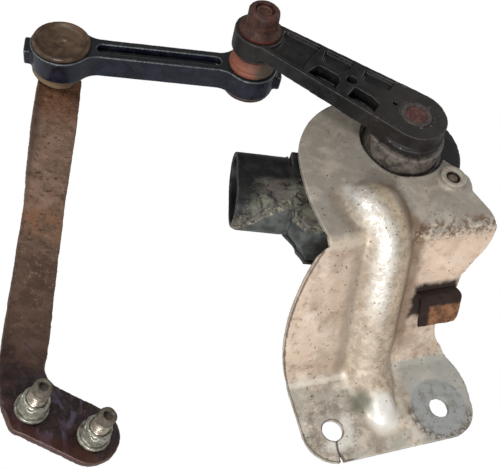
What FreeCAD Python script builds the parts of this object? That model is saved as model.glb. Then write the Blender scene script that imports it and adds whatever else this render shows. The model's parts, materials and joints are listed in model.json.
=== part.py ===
import FreeCAD, Part
import Sketcher
import math
import os

# Headlight level sensor: a rotary sensor under a pressed steel bracket, its lever,
# a ball-jointed link and the flat strap that bolts to the suspension arm.
# Frame: Z is the sensor shaft, z = 0 is the top face of the bracket plate,
# X runs along the bends of the bracket and -Y points from the shaft to the foot.

Vector = FreeCAD.Vector
doc = FreeCAD.newDocument("headlight_level_sensor")
sheet = doc.addObject("Spreadsheet::Sheet", "sizes")

drivingSizes = [
    # pressed bracket
    ("sheet_gauge", 2.6),
    ("bend_radius", 5.0),
    ("plate_reach", 43.0),
    ("plate_left", 49.0),
    ("plate_right", 22.0),
    ("web_lean", 24.0),
    ("web_length", 69.0),
    ("foot_reach", 35.5),
    ("foot_left", 58.4),
    ("foot_right", 19.2),
    ("foot_corner", 13.5),
    ("foot_hole_radius", 4.2),
    ("foot_hole_left", 45.5),
    ("foot_hole_right", 3.8),
    ("foot_hole_edge", 13.3),
    ("cutout_radius", 18.3),
    ("burr_radius", 5.5),
    ("burr_height", 3.0),
    ("burr_lobe", 9.0),
    ("bead_radius", 11.0),
    ("bead_height", 7.2),
    ("bead_root", 2.0),
    ("bead_dome", 13.6),
    ("bead_dome_shift", 2.4),
    ("bead_nose", 7.6),
    ("bead_centre", 22.0),
    ("bead_start", 31.0),
    ("bead_run_out", 18.5),
    ("bead_bend", 13.2),
    ("crack_width", 0.8),
    # rusty hook for the wiring on the web
    ("hook_width", 19.0),
    ("hook_gauge", 1.8),
    ("hook_standoff", 6.0),
    ("hook_drop", 14.0),
    ("hook_down", 30.5),
    ("hook_side", 3.5),
    # sensor housing
    ("seat_gap", 0.2),
    ("housing_radius", 27.0),
    ("screw_head", 4.6),
    ("screw_head_gap", 0.4),
    ("housing_depth", 24.4),
    ("housing_wall", 3.0),
    ("neck_radius", 16.2),
    ("neck_height", 6.2),
    ("connector_turn", 15.0),
    ("connector_offset", 23.0),
    ("block_half_width", 23.0),
    ("block_reach", 47.0),
    ("shroud_reach", 22.0),
    ("shroud_width", 32.0),
    ("shroud_top_gap", 1.9),
    ("shroud_floor_gap", 0.5),
    ("shroud_wall", 2.2),
    ("terminal_length", 12.0),
    ("terminal_pitch", 6.0),
    ("screw_circle", 26.0),
    ("screw_heading", 59.2),
    ("screw_radius", 2.5),
    ("ear_radius", 8.0),
    ("ear_depth", 6.0),
    ("sleeve_wall", 1.2),
    ("cover_gauge", 2.0),
    ("seal_gauge", 1.0),
    ("board_gauge", 1.6),
    ("board_lift", 3.8),
    # shaft and its bearing
    ("shaft_radius", 4.4),
    ("running_gap", 0.05),
    ("bush_wall", 2.0),
    ("bush_length", 10.0),
    ("seal_wall", 3.0),
    ("magnet_radius", 9.0),
    ("magnet_height", 4.0),
    ("magnet_gap", 2.6),
    # lever
    ("lever_length", 73.0),
    ("lever_heading", 134.4),
    ("lever_gap", 0.6),
    ("lever_height", 9.6),
    ("lever_hub_radius", 13.4),
    ("lever_end_radius", 10.6),
    ("lever_waist", 8.9),
    ("lever_rise", 3.2),
    ("lever_wall", 2.2),
    ("lever_pocket", 5.5),
    ("lever_tray", 1.6),
    ("lever_spine", 3.4),
    ("insert_radius", 6.6),
    # ball joints
    ("ball_radius", 4.0),
    ("ball_gap", 0.08),
    ("neck_pin_radius", 2.2),
    ("stud_radius", 4.0),
    ("stud_flange_radius", 8.5),
    ("stud_flange_height", 2.5),
    ("stud_tip_recess", 0.6),
    ("nut_across_flats", 13.0),
    ("nut_flange_radius", 9.0),
    ("nut_height", 11.0),
    # link
    ("link_length", 80.1),
    ("link_heading", 167.3),
    ("link_top", 2.6),
    ("link_height", 11.0),
    ("link_width", 11.3),
    ("link_fillet", 9.0),
    ("link_groove", 4.6),
    ("link_groove_depth", 3.6),
    ("eye_radius", 12.8),
    ("lever_eye_radius", 11.6),
    ("lug_reach", 2.4),
    ("seat_radius", 9.0),
    ("eye_lip", 2.0),
    ("cap_seat", 1.0),
    ("eye_mouth_radius", 7.0),
    ("cap_radius", 12.0),
    ("lever_cap_radius", 11.0),
    ("cap_height", 2.0),
    ("boot_wall", 1.2),
    ("boot_gap", 0.3),
    # strap to the suspension arm
    ("strap_tilt", 17.0),
    ("strap_tilt_heading", 6.6),
    ("strap_drop", 12.2),
    ("strap_heading", 77.4),
    ("strap_gauge", 3.2),
    ("strap_width", 18.6),
    ("strap_waist", 15.0),
    ("strap_shift", 3.3),
    ("waist_shift", 3.8),
    ("strap_length", 155.9),
    ("foot_stud_shift", 7.9),
    ("foot_stud_spacing", 20.5),
    ("foot_stud_fall", 19.0),
    ("foot_stud_radius", 3.0),
    ("foot_stud_height", 14.8),
    ("foot_stud_shank", 3.2),
    ("foot_end_radius", 9.6),
    ("foot_nut_across_flats", 8.6),
    ("foot_nut_flange_radius", 5.4),
    ("foot_nut_height", 7.0),
]
for row, (alias, value) in enumerate(drivingSizes, start=1):
    sheet.set("A%d" % row, alias)
    sheet.set("B%d" % row, str(value))
    sheet.setAlias("B%d" % row, alias)
doc.recompute()


def size(alias):
    return float(sheet.get(alias))


# The part is kept in the frame of its right foot bolt hole, at the face it sits on

leanAngle = math.radians(size("web_lean"))
footTop = -size("web_length") * math.cos(leanAngle)
footFold = -size("plate_reach") - size("web_length") * math.sin(leanAngle)
footHoleY = footFold - size("foot_reach") + size("foot_hole_edge")
rowShift = Vector(-size("foot_hole_right"), -footHoleY, size("sheet_gauge") - footTop)


# Sketch and feature helpers

def originPlane(body, role):
    return [feature for feature in body.Origin.OriginFeatures if feature.Role == role][0]


def newBody(name):
    return doc.addObject("PartDesign::Body", name)


def newSketch(body, name, role="XY_Plane", offset=None):
    sketch = body.newObject("Sketcher::SketchObject", name)
    sketch.AttachmentSupport = [(originPlane(body, role), "")]
    sketch.MapMode = "FlatFace"
    if offset is not None:
        sketch.AttachmentOffset = offset
    return sketch


def lifted(height, turn=None):
    rotation = turn if turn is not None else FreeCAD.Rotation()
    return FreeCAD.Placement(Vector(0, 0, height), rotation)


def addCircle(sketch, radius, x=0.0, y=0.0, alias=None):
    index = sketch.addGeometry(Part.Circle(Vector(x, y, 0), Vector(0, 0, 1), radius), False)
    if alias:
        sketch.addConstraint(Sketcher.Constraint("DistanceX", -1, 1, index, 3, x))
        sketch.addConstraint(Sketcher.Constraint("DistanceY", -1, 1, index, 3, y))
        number = sketch.addConstraint(Sketcher.Constraint("Radius", index, radius))
        sketch.setExpression("Constraints[%d]" % number, alias)
    return index


def addLoop(sketch, start, steps, closed=True):
    # a step is (x, y) for a line, or (middle x, middle y, x, y) for an arc through the middle
    here = Vector(start[0], start[1], 0)
    first = here
    for step in steps:
        there = Vector(step[-2], step[-1], 0)
        if len(step) == 2:
            sketch.addGeometry(Part.LineSegment(here, there), False)
        else:
            middle = Vector(step[0], step[1], 0)
            sketch.addGeometry(Part.Arc(here, middle, there), False)
        here = there
    if closed and (here - first).Length > 1e-6:
        sketch.addGeometry(Part.LineSegment(here, first), False)


def pad(body, sketch, length, name, reverse=False, midplane=False):
    feature = body.newObject("PartDesign::Pad", name)
    feature.Profile = sketch
    if isinstance(length, str):
        feature.setExpression("Length", length)
    else:
        feature.Length = length
    feature.Reversed = reverse
    feature.Midplane = midplane
    sketch.Visibility = False
    return feature


def pocket(body, sketch, length, name, reverse=False, midplane=False):
    feature = body.newObject("PartDesign::Pocket", name)
    feature.Profile = sketch
    if isinstance(length, str):
        feature.setExpression("Length", length)
    else:
        feature.Length = length
    feature.Reversed = reverse
    feature.Midplane = midplane
    return feature


def turned(name, profile):
    # a body of revolution about its own Z, from (radius, height) corners
    body = newBody(name)
    sketch = newSketch(body, name + "_profile", "XZ_Plane")
    addLoop(sketch, profile[0], profile[1:])
    feature = body.newObject("PartDesign::Revolution", name + "_turned")
    feature.Profile = sketch
    feature.ReferenceAxis = (sketch, ["V_Axis"])
    feature.Angle = 360
    return body


def place(item, x, y, z, rotation=None):
    item.Placement = FreeCAD.Placement(Vector(x, y, z) + rowShift, rotation or FreeCAD.Rotation())


def aboutZ(degrees):
    return FreeCAD.Rotation(Vector(0, 0, 1), degrees)


def polar(radius, degrees):
    angle = math.radians(degrees)
    return radius * math.cos(angle), radius * math.sin(angle)


def copyOf(base, name, x, y, z, rotation=None):
    # a second, identical piece for the same node
    link = doc.addObject("Part::Feature", name)
    link.Shape = base.Shape.copy()
    place(link, x, y, z, rotation)
    return link


# Axes of the linkage and the tilted plane of the strap

leverX, leverY = polar(size("lever_length"), size("lever_heading"))
linkDx, linkDy = polar(size("link_length"), size("link_heading"))
strapX = leverX + linkDx
strapY = leverY + linkDy
leverBottom = size("neck_height") + size("lever_gap")
leverTop = leverBottom + size("lever_height")
linkTop = -size("link_top")
linkBottom = linkTop - size("link_height")
ballHeight = (linkTop + linkBottom) / 2
tiltX, tiltY = polar(math.sin(math.radians(size("strap_tilt"))), size("strap_tilt_heading"))
strapNormal = Vector(tiltX, tiltY, math.cos(math.radians(size("strap_tilt"))))
strapOrigin = Vector(strapX, strapY, ballHeight) - strapNormal * size("strap_drop")
legX, legY = polar(1.0, size("strap_heading"))
legRise = -(legX * strapNormal.x + legY * strapNormal.y) / strapNormal.z
legBack = Vector(legX, legY, legRise).normalize()
strapRotation = FreeCAD.Rotation(legBack.cross(strapNormal), legBack, strapNormal, "ZXY")
strapPlacement = FreeCAD.Placement(strapOrigin, strapRotation)


# Pressed bracket

def bendCorners(depth):
    # corners of the folded line that lies this far below the outer faces
    lean = math.radians(size("web_lean"))
    y1 = -size("plate_reach")
    y2 = y1 - size("web_length") * math.sin(lean)
    z2 = -size("web_length") * math.cos(lean)
    shift = depth * (1 - math.sin(lean)) / math.cos(lean)
    corner1 = Vector(0, y1 + depth * math.cos(lean) - shift * math.sin(lean), -depth)
    corner2 = Vector(0, y2 + depth * math.cos(lean) - shift * math.sin(lean), z2 - depth)
    return corner1, corner2


def foldedSteps(startY, endY, depth, radius1, radius2):
    # line, arc, line, arc, line in sketch axes (y, z), from the plate to the foot
    corner1, corner2 = bendCorners(depth)
    start = Vector(0, startY, -depth)
    end = Vector(0, endY, corner2.z)
    steps = []
    here = start
    for corner, after, radius in ((corner1, corner2, radius1), (corner2, end, radius2)):
        inward = (corner - here).normalize()
        outward = (after - corner).normalize()
        turn = math.acos(inward.dot(outward))
        run = radius * math.tan(turn / 2)
        first = corner - inward * run
        last = corner + outward * run
        toCentre = (outward - inward).normalize()
        middle = corner + toCentre * (radius / math.cos(turn / 2) - radius)
        steps.append((first.y, first.z))
        steps.append((middle.y, middle.z, last.y, last.z))
        here = last
    steps.append((end.y, end.z))
    return (start.y, start.z), steps


def reverseSteps(start, steps):
    points = [start]
    for step in steps:
        points.append((step[-2], step[-1]))
    back = []
    for index in range(len(steps) - 1, -1, -1):
        target = points[index]
        step = steps[index]
        back.append(target if len(step) == 2 else (step[0], step[1], target[0], target[1]))
    return points[-1], back


def makeBracket():
    gauge = size("sheet_gauge")
    bend = size("bend_radius")
    footY = bendCorners(0)[1].y
    footZ = footTop
    footEnd = footY - size("foot_reach")
    farY = size("housing_radius") + 10
    body = newBody("mounting_bracket")
    beadX = -size("bead_centre")
    ridge = size("bead_radius")
    sunk = ridge - size("bead_height")
    domeSunk = size("bead_dome") - size("bead_height")
    overshoot = 30.0

    # bead: a round rib that runs from a dome on the plate, over the web, out onto the foot
    beadEnd = footY - size("bead_run_out")
    start, steps = foldedSteps(-size("bead_start"), beadEnd, sunk, size("bead_bend"), size("bead_bend"))
    bendEnd = steps[3][2]
    steps = steps[:4]

    def beadPath(name):
        path = newSketch(body, name, "YZ_Plane", lifted(beadX))
        addLoop(path, start, steps, closed=False)
        return path

    def beadRing(name, radius):
        offset = FreeCAD.Placement(Vector(beadX, -sunk, size("bead_start")), FreeCAD.Rotation())
        ring = newSketch(body, name, "XZ_Plane", offset)
        addCircle(ring, radius)
        return ring

    path = beadPath("bead_path")
    ring = beadRing("bead_ring", ridge)
    outer = body.newObject("PartDesign::AdditivePipe", "bead_outer")
    outer.Profile = ring
    outer.Spine = (path, ["Edge%d" % (n + 1) for n in range(4)])

    def dome(kind, name, radius, y, z, shift=0.0):
        ball = body.newObject("PartDesign::" + kind, name)
        ball.Radius = radius
        ball.Placement = FreeCAD.Placement(Vector(beadX - shift, y, z), FreeCAD.Rotation())
        return ball

    # the rib ends in a dome on the plate, set a little to its left
    domeShift = size("bead_dome_shift")
    dome("AdditiveSphere", "bead_end", ridge, -size("bead_start"), -sunk)
    dome("AdditiveSphere", "bead_dome", size("bead_dome"), -size("bead_start"), -domeSunk, domeShift)

    def taper(kind, name, shrink):
        # the rib narrows along the foot, from its full width at the bend to the small nose
        cone = body.newObject("PartDesign::" + kind, name)
        cone.Radius1 = size("bead_nose") - shrink
        cone.Radius2 = ridge - shrink
        cone.Height = bendEnd - beadEnd
        turn = FreeCAD.Rotation(Vector(0, 0, 1), Vector(0, 1, 0))
        cone.Placement = FreeCAD.Placement(Vector(beadX, beadEnd, footZ - sunk), turn)

    taper("AdditiveCone", "bead_taper", 0.0)
    dome("AdditiveSphere", "bead_nose", size("bead_nose"), beadEnd, footZ - sunk)

    # everything below the mid face of the sheet comes off the rib
    lowStart, lowSteps = foldedSteps(farY, footEnd - overshoot, gauge / 2, bend + gauge / 2, bend + gauge / 2)
    below = newSketch(body, "under_side", "YZ_Plane")
    addLoop(below, lowStart, lowSteps + [(footEnd - overshoot, footZ - 60), (farY, footZ - 60)])
    pocket(body, below, 200.0, "trim_under_side", midplane=True)

    # the folded sheet itself
    topStart, topSteps = foldedSteps(farY, footEnd - 4, 0, bend + gauge, bend)
    lowStart, lowSteps = foldedSteps(farY, footEnd - 4, gauge, bend, bend + gauge)
    backStart, backSteps = reverseSteps(lowStart, lowSteps)
    fold = newSketch(body, "folded_sheet_profile", "YZ_Plane")
    addLoop(fold, topStart, topSteps + [backStart] + backSteps)
    pad(body, fold, 150.0, "folded_sheet", midplane=True)

    # soft root where the rib rises out of the foot
    doc.recompute()
    sheetTip = body.Tip

    def isSheet(surface):
        flat = isinstance(surface, Part.Plane)
        bent = isinstance(surface, Part.Cylinder) and abs(surface.Axis.x) > 0.999 and surface.Radius < ridge - 1
        return flat or bent

    roots = []
    for number, rim in enumerate(sheetTip.Shape.Edges):
        middle = rim.BoundBox.Center
        if abs(middle.x - beadX) > size("bead_dome") or middle.y > footY + bend or middle.z < footZ - gauge * 0.6:
            continue
        faces = sheetTip.Shape.ancestorsOfType(rim, Part.Face)
        if len(faces) == 2 and isSheet(faces[0].Surface) != isSheet(faces[1].Surface):
            roots.append("Edge%d" % (number + 1))
    soft = body.newObject("PartDesign::Fillet", "bead_roots")
    soft.Base = (sheetTip, roots)
    soft.setExpression("Radius", "sizes.bead_root")
    doc.recompute()

    # hollow side of the rib
    innerPath = beadPath("bead_inner_path")
    innerRing = beadRing("bead_inner_ring", ridge - gauge)
    inner = body.newObject("PartDesign::SubtractivePipe", "bead_inner")
    inner.Profile = innerRing
    inner.Spine = (innerPath, ["Edge%d" % (n + 1) for n in range(4)])
    dome("SubtractiveSphere", "bead_end_hollow", ridge - gauge, -size("bead_start"), -sunk)
    dome("SubtractiveSphere", "bead_dome_hollow", size("bead_dome") - gauge, -size("bead_start"), -domeSunk, domeShift)
    taper("SubtractiveCone", "bead_taper_hollow", gauge)
    dome("SubtractiveSphere", "bead_nose_hollow", size("bead_nose") - gauge, beadEnd, footZ - sunk)

    # outline of the plate, with its round cut-out open towards +X
    left = size("plate_left")
    right = size("plate_right")
    reach = size("plate_reach")
    cut = size("cutout_radius")
    lobe = size("burr_lobe")
    near = polar(size("screw_circle"), -size("screw_heading"))
    far = (-near[0], -near[1])
    screwTurn = 180 - size("screw_heading")
    farOut = polar(lobe, screwTurn)
    farSide = polar(lobe, screwTurn - 90)
    farBack = polar(lobe, screwTurn + 90)
    nearSide = polar(lobe, screwTurn - 110)
    cutFar = polar(cut, screwTurn - 24)
    cutNear = polar(cut, -size("screw_heading") + 22)
    trim = newSketch(body, "plate_trim", "XY_Plane", lifted(30))
    addLoop(trim, (-left + 1.9, -reach - 1), [
        (-left - 0.4, -reach / 2, -left + 1.4, -4.5),
        (-left + 9.5, 12.5, far[0] + farBack[0] * 0.9, far[1] + farBack[1] + 6.5),
        (far[0] + farOut[0], far[1] + farOut[1], far[0] + farSide[0], far[1] + farSide[1]),
        cutFar,
        (-cut, 0, polar(cut, 235)[0], polar(cut, 235)[1]),
        (polar(cut, 280)[0], polar(cut, 280)[1], cutNear[0], cutNear[1]),
        (near[0] + nearSide[0], near[1] + nearSide[1]),
        (near[0] + lobe, near[1], right - 1.4, -reach * 0.66),
        (right + 3.6, -reach - 1),
        (90, -reach - 1),
        (90, farY + 20),
        (-90, farY + 20),
        (-90, -reach - 1),
    ])
    pocket(body, trim, 60.0, "cut_plate")

    # outline of the web, drawn in its own leaning plane
    lean = size("web_lean")
    webTurn = FreeCAD.Rotation(Vector(1, 0, 0), 90 - lean)
    webPlane = FreeCAD.Placement(Vector(0, -reach, 0), webTurn)
    web = size("web_length")
    sides = newSketch(body, "web_trim", "XY_Plane", webPlane)
    addLoop(sides, (-left + 2, 0), [
        (-left - 4.2, -web * 0.16, -left - 9.2, -web * 0.36),
        (-left - 12.4, -web * 0.68, -size("foot_left"), -web),
        (-size("foot_left"), -web - 6),
        (-90, -web - 6),
        (-90, 0),
    ])
    addLoop(sides, (right + 3.5, 0), [
        (right + 3.3, -web * 0.15, right - 1.8, -web * 0.27),
        (right - 7.2, -web * 0.38),
        (right - 8.2, -web * 0.52),
        (right - 14.0, -web * 0.72, size("foot_right") - 5.6, -web * 0.92),
        (size("foot_right") - 3.0, -web),
        (size("foot_right") + 1.0, -web - 3),
        (90, -web - 3),
        (90, 0),
    ])
    pocket(body, sides, 50.0, "cut_web", midplane=True)

    # outline of the foot, its corners round the two bolt holes
    corner = size("foot_corner")
    footLeft = -size("foot_left")
    footRight = size("foot_right")
    slope = corner * (1 - math.sqrt(0.5))
    edge = newSketch(body, "foot_trim", "XY_Plane", lifted(footZ + 20))
    addLoop(edge, (footLeft, footY), [
        (footLeft, footEnd + corner),
        (footLeft + slope, footEnd + slope, footLeft + corner, footEnd),
        (footRight - corner, footEnd),
        (footRight - slope, footEnd + slope, footRight, footEnd + corner),
        (footRight - 0.2, footY - 6, footRight - 3.0, footY),
        (90, footY),
        (90, footEnd - 20),
        (-90, footEnd - 20),
        (-90, footY),
    ])
    pocket(body, edge, 50.0, "cut_foot")

    # bolt holes, and the crack from the left hole to the edge
    holeY = footEnd + size("foot_hole_edge")
    holes = newSketch(body, "foot_holes", "XY_Plane", lifted(footZ + 5))
    for x in (-size("foot_hole_left"), size("foot_hole_right")):
        addCircle(holes, size("foot_hole_radius"), x, holeY)
    pocket(body, holes, 15.0, "drill_foot")
    crack = newSketch(body, "crack_line", "XY_Plane", lifted(footZ + 5))
    crackX = -size("foot_hole_left")
    gap = size("crack_width")
    addLoop(crack, (crackX - gap / 4, holeY - size("foot_hole_radius") + 0.5), [
        (crackX - 0.9, holeY - 8.0),
        (crackX - gap / 2, footEnd - 2),
        (crackX + gap / 2, footEnd - 2),
        (crackX - 0.9 + gap * 0.7, holeY - 8.0),
        (crackX + gap / 4, holeY - size("foot_hole_radius") + 0.5),
    ])
    pocket(body, crack, 15.0, "crack")

    # two drawn collars that take the sensor screws
    collars = newSketch(body, "collar_rings", "XY_Plane", lifted(-gauge / 2))
    bores = newSketch(body, "collar_bores", "XY_Plane", lifted(size("burr_height") + 1))
    for x, y in (near, far):
        addCircle(collars, size("burr_radius"), x, y)
        addCircle(bores, size("screw_radius") + size("running_gap"), x, y)
    pad(body, collars, "sizes.burr_height + sizes.sheet_gauge / 2", "collars")
    pocket(body, bores, 20.0, "collar_threads")
    doc.recompute()

    def rimsAt(shape, height, radius):
        names = []
        for number, rim in enumerate(shape.Edges):
            if rim.Length < 0.01 or not rim.isClosed():
                continue
            curve = rim.Curve
            if isinstance(curve, Part.Circle) and abs(curve.Radius - radius) < 1e-4:
                if abs(curve.Center.z - height) < 1e-4 and abs(curve.Axis.z) > 0.999:
                    names.append("Edge%d" % (number + 1))
        return names

    tip = body.Tip
    fillet = body.newObject("PartDesign::Fillet", "collar_roots")
    fillet.Base = (tip, rimsAt(tip.Shape, 0.0, size("burr_radius")))
    fillet.Radius = 1.3
    doc.recompute()
    tip = body.Tip
    bevel = body.newObject("PartDesign::Chamfer", "collar_mouths")
    bevel.Base = (tip, rimsAt(tip.Shape, size("burr_height"), size("screw_radius") + size("running_gap")))
    bevel.Size = 1.2
    doc.recompute()
    return body


# Rusty hook that once held the wiring, welded to the face of the web

def makeHook():
    body = newBody("harness_hook")
    down = -size("hook_down")
    stand = size("hook_standoff")
    gauge = size("hook_gauge")
    low = down - size("hook_drop")
    bend = 2.2
    slope = bend * (1 - math.sqrt(0.5))
    profile = newSketch(body, "hook_profile", "YZ_Plane")
    addLoop(profile, (down, 0), [
        (down, stand - bend),
        (down - slope, stand - slope, down - bend, stand),
        (low, stand + 0.8),
        (low, stand + 0.8 - gauge),
        (down - bend, stand - gauge),
        (down - gauge, stand - bend),
        (down - gauge, 0),
    ])
    pad(body, profile, "sizes.hook_width", "folded_hook", midplane=True)
    corner = newSketch(body, "hook_corner", "XY_Plane", lifted(stand + 5))
    half = size("hook_width") / 2
    addLoop(corner, (half + 1, low + 4.5), [(half - 2.2, low - 1), (half + 1, low - 1)])
    pocket(body, corner, 12.0, "clipped_corner")
    turn = FreeCAD.Rotation(Vector(1, 0, 0), 90 - size("web_lean"))
    place(body, size("hook_side"), -size("plate_reach"), 0, turn)
    return body


# Sensor housing: round pot, neck, two ears, connector block and oval shroud

connectorTurn = 180 - size("connector_turn")
outAxis = Vector(*polar(1.0, connectorTurn), 0)
sideAxis = Vector(*polar(1.0, connectorTurn - 90), 0)


def outward(along, across):
    # a point at this distance out of the connector and to its side, in shaft axes
    point = outAxis * along + sideAxis * across
    return point.x, point.y


def blockOutline(inset):
    reach = size("block_reach") - inset
    side = size("connector_offset") + size("block_half_width") - inset
    corners = [(4, inset), (4, 24 - inset), (22, side - 2), (26, side),
               (reach - 5, side), (reach, side - 5), (reach, inset)]
    return [outward(along, -across) for along, across in corners]


housingTop = -size("sheet_gauge")
potRadius = size("screw_circle") - size("screw_head") - size("screw_head_gap")
housingBottom = housingTop - size("housing_depth")
blockTop = housingTop - 1.2
roof = housingTop - size("housing_wall")
earBottom = housingTop - size("ear_depth")
shroudHeight = size("housing_depth") - size("shroud_top_gap") - size("shroud_floor_gap")
shroudZ = housingBottom + size("shroud_floor_gap") + shroudHeight / 2
boardTop = housingBottom + size("board_lift") + size("board_gauge")
shaftLow = boardTop + size("magnet_gap")
nearEar = polar(size("screw_circle"), -size("screw_heading"))
farEar = (-nearEar[0], -nearEar[1])
sealSeat = size("neck_height") - 4.0
bushRadius = size("shaft_radius") + size("running_gap") + size("bush_wall")
lipRadius = size("shaft_radius") + size("seal_wall")


def shroudPlane(along):
    # sketch plane square to the connector axis, its x along the side axis and its y up
    x, y = outward(along, -size("connector_offset"))
    turn = FreeCAD.Rotation(sideAxis * -1, Vector(0, 0, 1), outAxis, "ZXY")
    return FreeCAD.Placement(Vector(x, y, shroudZ), turn)


def addSlot(sketch, width, height):
    radius = height / 2
    reach = width / 2 - radius
    addLoop(sketch, (-reach, -radius), [
        (reach, -radius),
        (reach + radius, 0, reach, radius),
        (-reach, radius),
        (-reach - radius, 0, -reach, -radius),
    ])


def makeHousing():
    body = newBody("sensor_housing")
    wall = size("housing_wall")
    pot = newSketch(body, "pot_ring", "XY_Plane", lifted(housingBottom))
    addCircle(pot, potRadius)
    pad(body, pot, "sizes.housing_depth", "pot")
    flange = newSketch(body, "flange_ring", "XY_Plane", lifted(earBottom))
    addCircle(flange, size("housing_radius"), alias="sizes.housing_radius")
    pad(body, flange, "sizes.ear_depth", "flange")
    block = newSketch(body, "block_outline", "XY_Plane", lifted(housingBottom))
    corners = blockOutline(0)
    addLoop(block, corners[0], corners[1:])
    pad(body, block, blockTop - housingBottom, "connector_block")
    neck = newSketch(body, "neck_ring", "XY_Plane", lifted(roof))
    addCircle(neck, size("neck_radius"), alias="sizes.neck_radius")
    pad(body, neck, size("neck_height") - roof, "neck")
    ears = newSketch(body, "ear_rings", "XY_Plane", lifted(earBottom))
    for x, y in (nearEar, farEar):
        addCircle(ears, size("ear_radius"), x, y)
    pad(body, ears, "sizes.ear_depth", "ears")
    shroud = newSketch(body, "shroud_outline", "XY_Plane", shroudPlane(size("block_reach") - 3))
    addSlot(shroud, size("shroud_width"), shroudHeight)
    pad(body, shroud, "sizes.shroud_reach + 3", "shroud")

    # hollow side: pot, block, and a stiff collar round the bush
    hollow = newSketch(body, "pot_hollow", "XY_Plane", lifted(housingBottom - 1))
    addCircle(hollow, potRadius - wall)
    pocket(body, hollow, roof - housingBottom + 1, "pot_cavity", reverse=True)
    room = newSketch(body, "block_hollow", "XY_Plane", lifted(housingBottom - 1))
    inner = blockOutline(wall)
    addLoop(room, inner[0], inner[1:])
    pocket(body, room, blockTop - wall - housingBottom + 1, "block_cavity", reverse=True)
    collar = newSketch(body, "bush_collar", "XY_Plane", lifted(sealSeat - size("bush_length")))
    addCircle(collar, bushRadius + 3)
    pad(body, collar, roof - sealSeat + size("bush_length") + 0.5, "bush_boss")
    bore = newSketch(body, "bush_bore", "XY_Plane", lifted(size("neck_height") + 1))
    addCircle(bore, bushRadius)
    pocket(body, bore, 40.0, "bore_for_bush")
    seat = newSketch(body, "lip_seat", "XY_Plane", lifted(size("neck_height") + 1))
    addCircle(seat, lipRadius)
    pocket(body, seat, 5.0, "seat_for_seal")

    # hollow shroud, slots for the blades, and sleeve holes
    mouth = newSketch(body, "mouth_outline", "XY_Plane", shroudPlane(size("block_reach") + size("shroud_reach") + 1))
    grip = 2 * size("shroud_wall")
    addSlot(mouth, size("shroud_width") - grip, shroudHeight - grip)
    pocket(body, mouth, size("shroud_reach") + 1.0, "mouth")
    slots = newSketch(body, "blade_slots", "XY_Plane", shroudPlane(size("block_reach") + 5))
    for count in (-1, 0, 1):
        x = count * size("terminal_pitch")
        addLoop(slots, (x - 1.2, -0.4), [(x + 1.2, -0.4), (x + 1.2, 0.4), (x - 1.2, 0.4), (x - 1.2, -0.4)])
    pocket(body, slots, 12.0, "blade_openings")
    sleeves = newSketch(body, "sleeve_holes", "XY_Plane", lifted(housingTop + 1))
    for x, y in (nearEar, farEar):
        addCircle(sleeves, size("screw_radius") + size("running_gap") + size("sleeve_wall"), x, y)
    pocket(body, sleeves, size("ear_depth") + 2, "sleeve_bores")
    place(body, 0, 0, 0)
    return body


def floorPlate(name, bottom, thickness, inset, hole=None):
    # a flat piece with the outline of the housing, moved in by the inset
    body = newBody(name)
    ring = newSketch(body, name + "_round", "XY_Plane", lifted(bottom))
    addCircle(ring, potRadius - inset)
    pad(body, ring, thickness, name + "_disc")
    tail = newSketch(body, name + "_tail", "XY_Plane", lifted(bottom))
    corners = blockOutline(inset)
    addLoop(tail, corners[0], corners[1:])
    pad(body, tail, thickness, name + "_tongue")
    if hole:
        gap = newSketch(body, name + "_gap", "XY_Plane", lifted(bottom - 1))
        addCircle(gap, potRadius - hole)
        pocket(body, gap, "sizes.seal_gauge + 2", name + "_round_gap", reverse=True)
        slot = newSketch(body, name + "_slot", "XY_Plane", lifted(bottom - 1))
        inner = blockOutline(hole)
        addLoop(slot, inner[0], inner[1:])
        pocket(body, slot, "sizes.seal_gauge + 2", name + "_tail_gap", reverse=True)
    place(body, 0, 0, 0)
    return body


def makeTerminals():
    # three bent blades: up from the board, then out through the wall into the shroud
    blades = []
    start = size("block_reach") - size("housing_wall") - 6
    tipX = size("block_reach") + size("terminal_length")
    rise = boardTop - shroudZ
    for count in (-1, 0, 1):
        name = "blade" + str(count + 2)
        body = newBody(name)
        outline = newSketch(body, name + "_outline", "XZ_Plane")
        addLoop(outline, (start, rise), [
            (start + 0.8, rise),
            (start + 0.8, -0.4),
            (tipX - 1.0, -0.4),
            (tipX, 0),
            (tipX - 1.0, 0.4),
            (start, 0.4),
            (start, rise),
        ])
        pad(body, outline, 2.4, name + "_strip", midplane=True)
        x, y = outward(0, -size("connector_offset") + count * size("terminal_pitch"))
        place(body, x, y, shroudZ, aboutZ(connectorTurn))
        blades.append(body)
    return blades


def makeScrews():
    head = turned("ear_screw", [
        (0, -4.0), (2.2, -4.0), (size("screw_head") - 0.2, -3.2), (size("screw_head"), -0.6),
        (size("screw_head"), 0), (size("screw_radius"), 0),
        (size("screw_radius"), size("ear_depth") + size("sheet_gauge") + 1.2),
        (size("screw_radius") - 0.9, size("ear_depth") + size("sheet_gauge") + 2.0),
        (0, size("ear_depth") + size("sheet_gauge") + 2.0),
    ])
    place(head, nearEar[0], nearEar[1], earBottom)
    return head


def makeSleeve():
    inner = size("screw_radius") + size("running_gap")
    outer = inner + size("sleeve_wall")
    sleeve = turned("ear_sleeve", [(inner, 0), (outer, 0), (outer, size("ear_depth")), (inner, size("ear_depth"))])
    place(sleeve, nearEar[0], nearEar[1], earBottom)
    return sleeve


# Shaft, its bush, lip seal and magnet

def ring(name, inner, outer, bottom, height):
    piece = turned(name, [(inner, bottom), (outer, bottom), (outer, bottom + height), (inner, bottom + height)])
    place(piece, 0, 0, 0)
    return piece


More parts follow.
